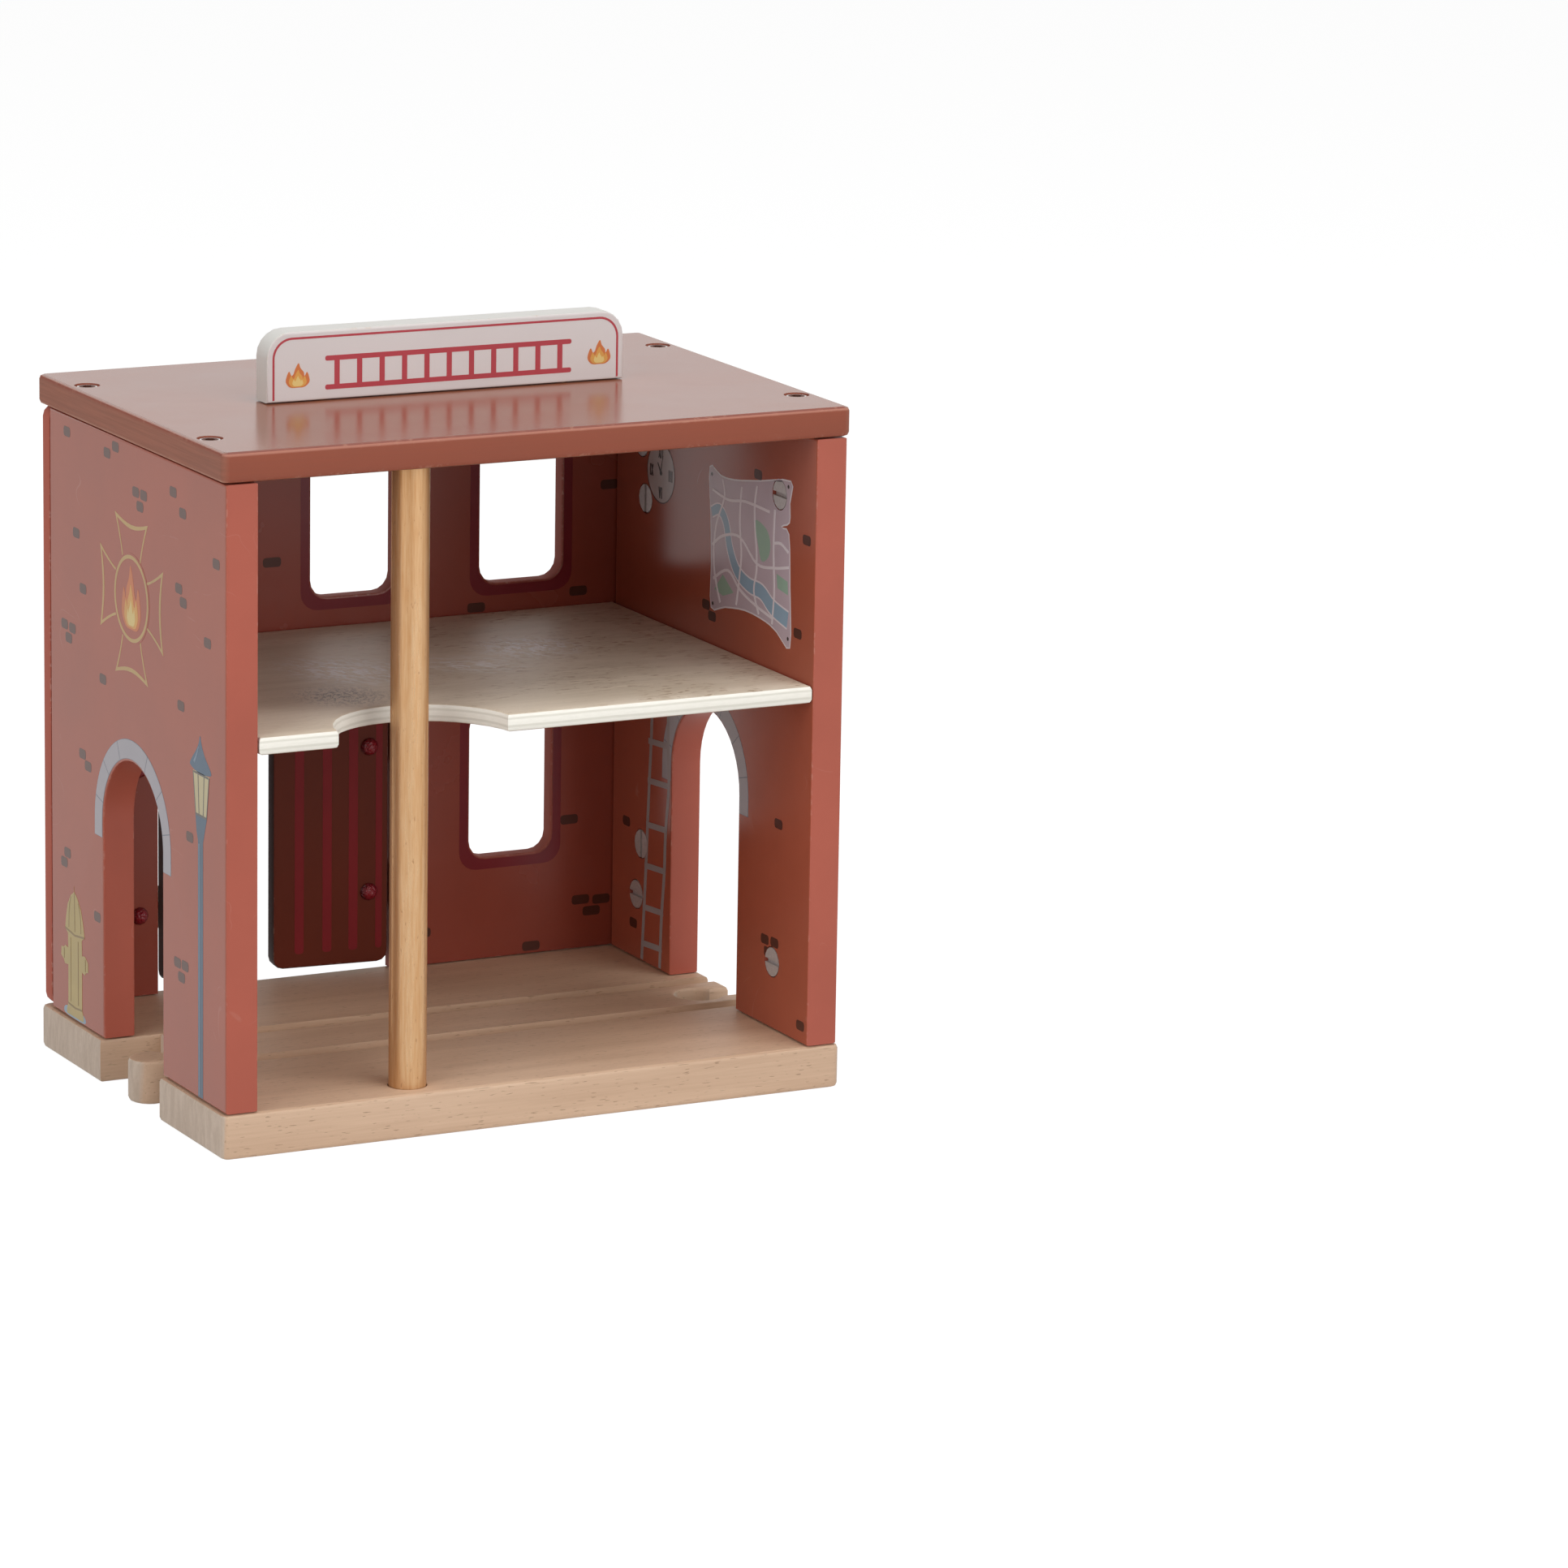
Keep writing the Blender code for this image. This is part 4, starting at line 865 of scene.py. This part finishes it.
cross_outer = cross_outline(emblem_middle, emblem_half, 5.2, 11.2, 1.8)
cross_inner = cross_outline(emblem_middle, emblem_half - emblem_line, 4.4, 9.6, 1.6)
disc_outer, disc_inner, disc_ground = (circle(*emblem_middle, radius, 48) for radius in (11.6, 10.6, 12.2))
printed("emblem_cross", left_outside, [cross_outer, cross_inner], emblem_ink)
printed("emblem_ground", left_outside, [disc_ground], ink("wall_red_ink", face_red), layer=2)
printed("emblem_ring", left_outside, [disc_outer, disc_inner], emblem_ink, layer=3)
flame_inks = (
    ink("flame_orange_ink", flame_orange, 0.14), ink("flame_amber_ink", flame_amber, 0.14),
    ink("flame_yellow_ink", flame_yellow, 0.1),
)


def print_flame(name, face, middle, foot, rise, sizes, layer):
    """Three flames, one on another, each a rise above the one under it."""
    for level, (part, size, flame_ink) in enumerate(zip(("outer", "middle", "inner"), sizes, flame_inks)):
        tongues = flame(middle, foot + level * rise, *size)
        printed(f"{name}_flame_{part}", face, [tongues], flame_ink, layer=layer + level)


print_flame("emblem", left_outside, emblem_middle[0], 128.2, 0.5, ((12.6, 17), (9, 11.5), (5.4, 6.8)), 3)

# ---- Prints on the right wall's inside ----
# A ladder beside the stone arch below, and above it a round clock and a street map pinned to the wall
# with curling edges. The prints go round the barrel nuts.
dark_brick_colour = (0.085, 0.027, 0.018, 1)
ladder_grey = (0.36, 0.325, 0.33, 1)
clock_pale = (0.56, 0.51, 0.51, 1)
clock_dark = (0.06, 0.045, 0.045, 1)
map_paper = (0.57, 0.465, 0.52, 1)
map_edge = (0.80, 0.745, 0.78, 1)
map_street = (0.82, 0.755, 0.79, 1)
map_river = (0.32, 0.455, 0.58, 1)
map_green = (0.35, 0.50, 0.40, 1)
street_width = 0.8
right_inside = upright((0, 1, 0), (-1, 0, 0), -wall_inside)
dark_brick_ink = ink("dark_brick_mark_ink", dark_brick_colour)
right_brick_places = (
    (-28.8, 162.5), (-57.5, 149.8), (0.9, 121.3), (-2.8, 118.7), (-53.2, 123.7), (-44.1, 69.6), (-37.2, 36.1),
    (-42.9, 36.4), (-58.7, 17.1), (43, 22.1), (48.1, 50.3),
)
cut_brick = clear_of(soft_box(-39.2, 32.9, 4.6, 2.7, 0.5), wall_nuts)
print_wall("right_wall", right_inside, bricks(right_brick_places) + [cut_brick], dark_brick_ink)

ladder_ink = ink("ladder_ink", ladder_grey, 0.08)
rear_rail = brush([
    (31.6, 104.5), (32.5, 90), (33.2, 76.3), (34, 64.6), (35, 48), (35.4, 40.6), (37.3, 12.9),
], 1.5, steps=6)
front_rail = brush([
    (23.4, 104.5), (22.9, 90), (22.6, 76.6), (21.9, 65.7), (23.5, 52.2), (24, 40.5), (25.3, 28.2), (25.8, 18),
    (26.1, 12.9),
], 1.5, steps=6)
rungs = [
    stroke([(22.0 + lean, up + 0.5), (34.6 + lean, up - 0.4)], 1.7)
    for up, lean in (
        (99.5, -0.6), (88, -0.2), (76.5, 0.2), (65.2, 0.3), (52.5, 0.9), (40.6, 1.6), (28.5, 2.4), (18, 3)
    )
]
printed("wall_ladder_rails", right_inside, [clear_of(rear_rail, wall_nuts), front_rail], ladder_ink, layer=3)
printed("wall_ladder_rungs", right_inside, rungs, ladder_ink, layer=4)

clock_face_ink = ink("clock_face_ink", clock_pale, 0.08)
clock_mark_ink = ink("clock_mark_ink", clock_dark)
clock_middle = (29.4, 152.7)
numeral_height = 3.2


def on_clock(*offsets):
    return [(clock_middle[0] + across, clock_middle[1] + up) for across, up in offsets]


clock_marks = [
    stroke(on_clock((0, 0), (2, 2.6)), 0.8, 0.5), stroke(on_clock((0.4, -0.5), (-1.2, 5)), 0.6, 0.35),
    circle(*clock_middle, 0.75, 12),
]
numeral_lines = {
    "I": (((0, 0), (0, 1)),),
    "V": (((-0.3, 1), (0, 0)), ((0.3, 1), (0, 0))),
    "X": (((-0.3, 0), (0.3, 1)), ((-0.3, 1), (0.3, 0))),
}
for hour, numeral, spacing in ((0, "XII", 0.95), (3, "III", 0.9), (6, "VI", 1.1), (9, "IX", 1.1)):
    turn = hour * math.pi / 6
    across = clock_middle[0] - 5.9 * math.sin(turn)
    foot = clock_middle[1] + 5.6 * math.cos(turn) - numeral_height / 2
    for index, letter in enumerate(numeral):
        middle = across - (index - (len(numeral) - 1) / 2) * spacing
        for ends in numeral_lines[letter]:
            line = [(middle - run * numeral_height / 2, foot + rise * numeral_height) for run, rise in ends]
            clock_marks.append(stroke(line, 0.5))
rim_outer, rim_inner, dial = (circle(*clock_middle, radius, 48) for radius in (8.55, 8.2, 8.4))
printed("wall_clock_rim", right_inside, [rim_outer, rim_inner], brick_ink, layer=2)
printed("wall_clock_face", right_inside, [dial], clock_face_ink)
printed("wall_clock_marks", right_inside, clock_marks, clock_mark_ink, layer=2, crossing=True)

map_paper_ink = ink("map_paper_ink", map_paper, 0.1)
map_edge_ink = ink("map_edge_ink", map_edge, 0.06)
map_street_ink = ink("map_street_ink", map_street, 0.04)
map_river_ink = ink("map_river_ink", map_river, 0.1)
map_park_ink = ink("map_park_ink", map_green, 0.1)


def inset(outline, margin):
    """An outline moved inward by a margin, for one that runs anticlockwise."""
    moved = []
    for index, (across, up) in enumerate(outline):
        ahead, behind = outline[(index + 1) % len(outline)], outline[index - 1]
        run = math.dist(ahead, behind)
        moved.append((across - (ahead[1] - behind[1]) / run * margin, up + (ahead[0] - behind[0]) / run * margin))
    return moved


sheet = flowing([
    (0, 159.8), (-7, 158.6), (-15.1, 158.8), (-30, 161.2), (-47.9, 164.2), (-47.7, 158), (-47.6, 152.6),
    (-43, 150.7), (-47.4, 149.6), (-48.6, 135), (-49, 118.8), (-41, 121.6), (-34.4, 123.2), (-22.5, 123.9),
    (-10.6, 122.5), (-2, 121), (-1.7, 133.3), (-1, 146),
], 3)
nut_ring = circle(*wall_nuts[2], nut_clearance, 28)
printed("wall_map_border", right_inside, [sheet, nut_ring], map_edge_ink)
printed("wall_map_paper", right_inside, [inset(sheet, 0.45), nut_ring], map_paper_ink, layer=2)
river = flowing([
    (-1.9, 147.5), (-6.5, 149), (-10.5, 146), (-13, 139.5), (-17.5, 134), (-24.5, 131.5), (-32, 131),
    (-38.5, 128), (-47.4, 126.2),
], 5, False)
printed("wall_map_banks", right_inside, [stroke(river, 3.4, 5.4)], map_street_ink, layer=3)
printed("wall_map_river", right_inside, [stroke(river, 2.5, 4.4)], map_river_ink, layer=4)
parks = [
    flowing([(-27.5, 149.8), (-34.2, 148.6), (-36.6, 145), (-35.6, 141.2), (-31.8, 139.4), (-29.6, 143.4)], 4),
    [(-9, 131.5), (-15.5, 127.6), (-9.2, 125.6), (-4.2, 126.6)],
    [(-40.6, 137.6), (-47, 136.6), (-47.4, 133), (-41.2, 133.8)],
]
printed("wall_map_parks", right_inside, parks, map_park_ink, layer=3)
street_courses = (
    ((-2.2, 153.8), (-12, 152.6), (-22, 153.9), (-36, 153.6)),
    ((-19.5, 157.6), (-18.6, 148), (-19.8, 138), (-17.2, 124.6)),
    ((-39, 154.8), (-38.6, 144), (-39.4, 132), (-38.4, 123.4)),
    ((-2.6, 138.6), (-9, 142.2), (-19, 143.6), (-29, 138.2), (-39.2, 138.9), (-47.6, 140.6)),
    ((-8.2, 157.6), (-9.4, 152.8), (-4.6, 144), (-3.6, 133), (-7.6, 123.4)),
    ((-28.4, 159.4), (-27.2, 152), (-29, 138.2), (-27.6, 130.4), (-30.6, 124.6)),
    ((-3.4, 129.4), (-12, 133.2), (-19.4, 129.2), (-28.4, 126.8), (-38.8, 125)),
)
streets = [brush(course, street_width, steps=5) for course in street_courses]
streets.append(brush(((-38.9, 145.6), (-43, 146.2), (-47.2, 144.6)), street_width))
printed("wall_map_streets", right_inside, streets, map_street_ink, layer=5, crossing=True)
pin_places = ((-1.6, 157.9), (-46.6, 162.3), (-47.7, 121.2), (-3.2, 122.4))
map_pins = [circle(*place, 0.55, 10) for place in pin_places]
printed("wall_map_pins", right_inside, map_pins, clock_mark_ink, layer=3)

# ---- Prints on the back wall ----
# Brick marks, and a crimson border round each window opening, on both faces of the back wall. The bricks
# are a little longer here than on the side walls.
crimson = (0.20, 0.02, 0.026, 1)
back_inside = upright((1, 0, 0), (0, -1, 0), -0.0575)
back_outside = upright((1, 0, 0), (0, 1, 0), 0.0625)
back_brick_width = 5.4
crimson_ink = ink("crimson_border_ink", crimson, 0.08)
borders = []
for across, up in ((-51, 140.4), (0, 140.4), (51, 140.4), (48.4, 62.5)):
    borders += [soft_box(across, up - 0.3, 31.2, 48.2, 5.2, 5), soft_box(across, up, 26.2, 43.2, 5.5, 5)]
inner_brick_places = (
    (-24.1, 130.4), (37.4, 112.9), (78, 144.7), (68.7, 115.2), (66.7, 49.9), (70.5, 26.4), (76.9, 26),
    (73.9, 22.9), (55.2, 14.5), (-73, 129), (-76, 168), (-66.5, 84), (-71.5, 81), (-68, 33),
    (24.5, 101), (-28, 104.2), (21.5, 21.6),
)
outer_brick_places = (
    (-28, 170), (-22.4, 170.2), (-25.4, 166.8), (26, 129.4), (29, 126), (-80, 112), (-30, 106),
    (-24.6, 106.2), (74, 103), (80.2, 77), (77.2, 73.6), (28.4, 94), (70.6, 28), (30, 31),
    (35.6, 31.2), (33, 27.8), (-72, 66), (-77.6, 66.2), (-74.6, 62.8), (-68.4, 24.6), (66, 173),
)
for name, face, places, brick_colour in (
    ("back_wall", back_inside, inner_brick_places, dark_brick_ink),
    ("back_wall_outer", back_outside, outer_brick_places, brick_ink),
):
    printed(name + "_brick_marks", face, bricks(places, back_brick_width), brick_colour)
    printed(name + "_window_borders", face, borders, crimson_ink)

# ---- Prints on the walls' other faces ----
# Brick marks and the same stone arch on the right wall's outside and the left wall's inside. The photo
# doesn't show these faces.
right_outside = upright((0, 1, 0), (1, 0, 0), wall_outside)
left_inside = upright((0, 1, 0), (1, 0, 0), -wall_inside)
right_outer_brick_places = (
    (-44, 170.2), (-38.4, 170.4), (-41, 167), (-4, 160.8), (29.6, 171.6), (46, 158), (-52, 146),
    (-20.6, 138), (-15, 138.2), (-18, 134.8), (18, 128.4), (40.4, 133.6), (-46.6, 118.2), (6, 112),
    (44.6, 104), (39, 103.8), (42, 100.4), (-36, 92), (48, 70.2), (-42, 62.4), (-47.6, 62.2),
    (-33.4, 34), (33, 47.6), (38.6, 47.8), (44.2, 21), (-54, 20.6),
)
left_inner_brick_places = (
    (-30, 168), (4.6, 156.2), (10.2, 156.4), (7.4, 153), (-50, 140.6), (30, 131.6), (-12, 122.4),
    (48.2, 119), (34, 92), (-34.6, 88), (-40.2, 87.8), (-37.2, 84.6), (-52, 56), (30, 58.8),
    (46.6, 74.2), (-30.6, 22.4), (33.8, 21.8),
)
print_wall("right_wall_outer", right_outside, bricks(right_outer_brick_places))
print_wall("left_wall_inner", left_inside, bricks(left_inner_brick_places))

# ---- Stripes on the door leaves ----
# Four crimson boards are printed on both faces of each leaf, from its hinge edge to its meeting edge. They
# are drawn as on a closed leaf and turned with it.
stripe_crimson = (0.215, 0.016, 0.02, 1)
stripe_up, stripe_height = 55.2, 73.0
stripe_ink = ink("door_stripe_ink", stripe_crimson, 0.12, roughness=0.4, shine=0.12)
for side, axis, edge, inward in (
    ("left", (-0.05725, 0.0648, 0), -56.9, 1),
    ("right", (0.01205, 0.0648, 0), 11.7, -1),
):
    axis = Vector(axis)
    opened = Matrix.Translation(axis) @ Matrix.Rotation(leaf_turns[side], 4, "Z") @ Matrix.Translation(-axis)
    stripes = [
        soft_box(edge + inward * middle, stripe_up, width, stripe_height, 0.9, 4)
        for middle, width in ((2.7, 1.9), (10.2, 2.65), (17.8, 2.65), (25.9, 2.65))
    ]
    for facing_name, face in (("inner", back_inside), ("outer", back_outside)):
        printed(f"{side}_door_{facing_name}_stripes", opened @ face, stripes, stripe_ink, body=side + "_leaf")

# ---- Print on the sign ----
# A crimson line runs up both ends and along the top, round the corners. Inside it lies a ladder, drawn
# plainly, with a small flame at each end.
sign_front = upright((1, 0, 0), (0, -1, 0), 0.003)
sign_crimson = (0.42, 0.045, 0.06, 1)
sign_ink = ink("sign_crimson_ink", sign_crimson)
line_reach, line_foot, line_top, line_corner, line_width = 50.4, 186.9, 203.4, 5.6, 0.6


def sign_line(inward):
    """Up one end, round the corners and down the other."""
    reach, top, corner = line_reach - inward, line_top - inward, line_corner - inward
    left = circle(-reach + corner, top - corner, corner, 10, math.pi, -math.pi / 2)
    right = circle(reach - corner, top - corner, corner, 10, math.pi / 2, -math.pi / 2)
    return [(-reach, line_foot)] + left + right + [(reach, line_foot)]


printed("sign_line", sign_front, [sign_line(0) + sign_line(line_width)[::-1]], sign_ink)
ladder_left, ladder_right, ladder_low, ladder_high = -35.3, 36.5, 189.6, 197.3
ladder_across, ladder_up = (ladder_left + ladder_right) / 2, (ladder_low + ladder_high) / 2
ladder_length, ladder_height = ladder_right - ladder_left, ladder_high - ladder_low
rail_height = 1.35
rung_width, rung_count, rung_margin = 1.5, 11, 3.4
rung_spacing = (ladder_length - 2 * rung_margin) / (rung_count - 1)
sign_rails = [soft_box(ladder_across, up, ladder_length, rail_height, 0.5) for up in (ladder_low, ladder_high)]
sign_rungs = [
    soft_box(ladder_left + rung_margin + rung_spacing * rung, ladder_up, rung_width, ladder_height, 0.2)
    for rung in range(rung_count)
]
printed("sign_ladder_rails", sign_front, sign_rails, sign_ink)
printed("sign_ladder_rungs", sign_front, sign_rungs, sign_ink, layer=2)
sign_flame_sizes = ((6.7, 6.5), (5, 4.5), (3, 2.7))
print_flame("sign_left", sign_front, -43.2, 190, 0.2, sign_flame_sizes, 1)
print_flame("sign_right", sign_front, 44.7, 190.6, 0.2, sign_flame_sizes, 1)
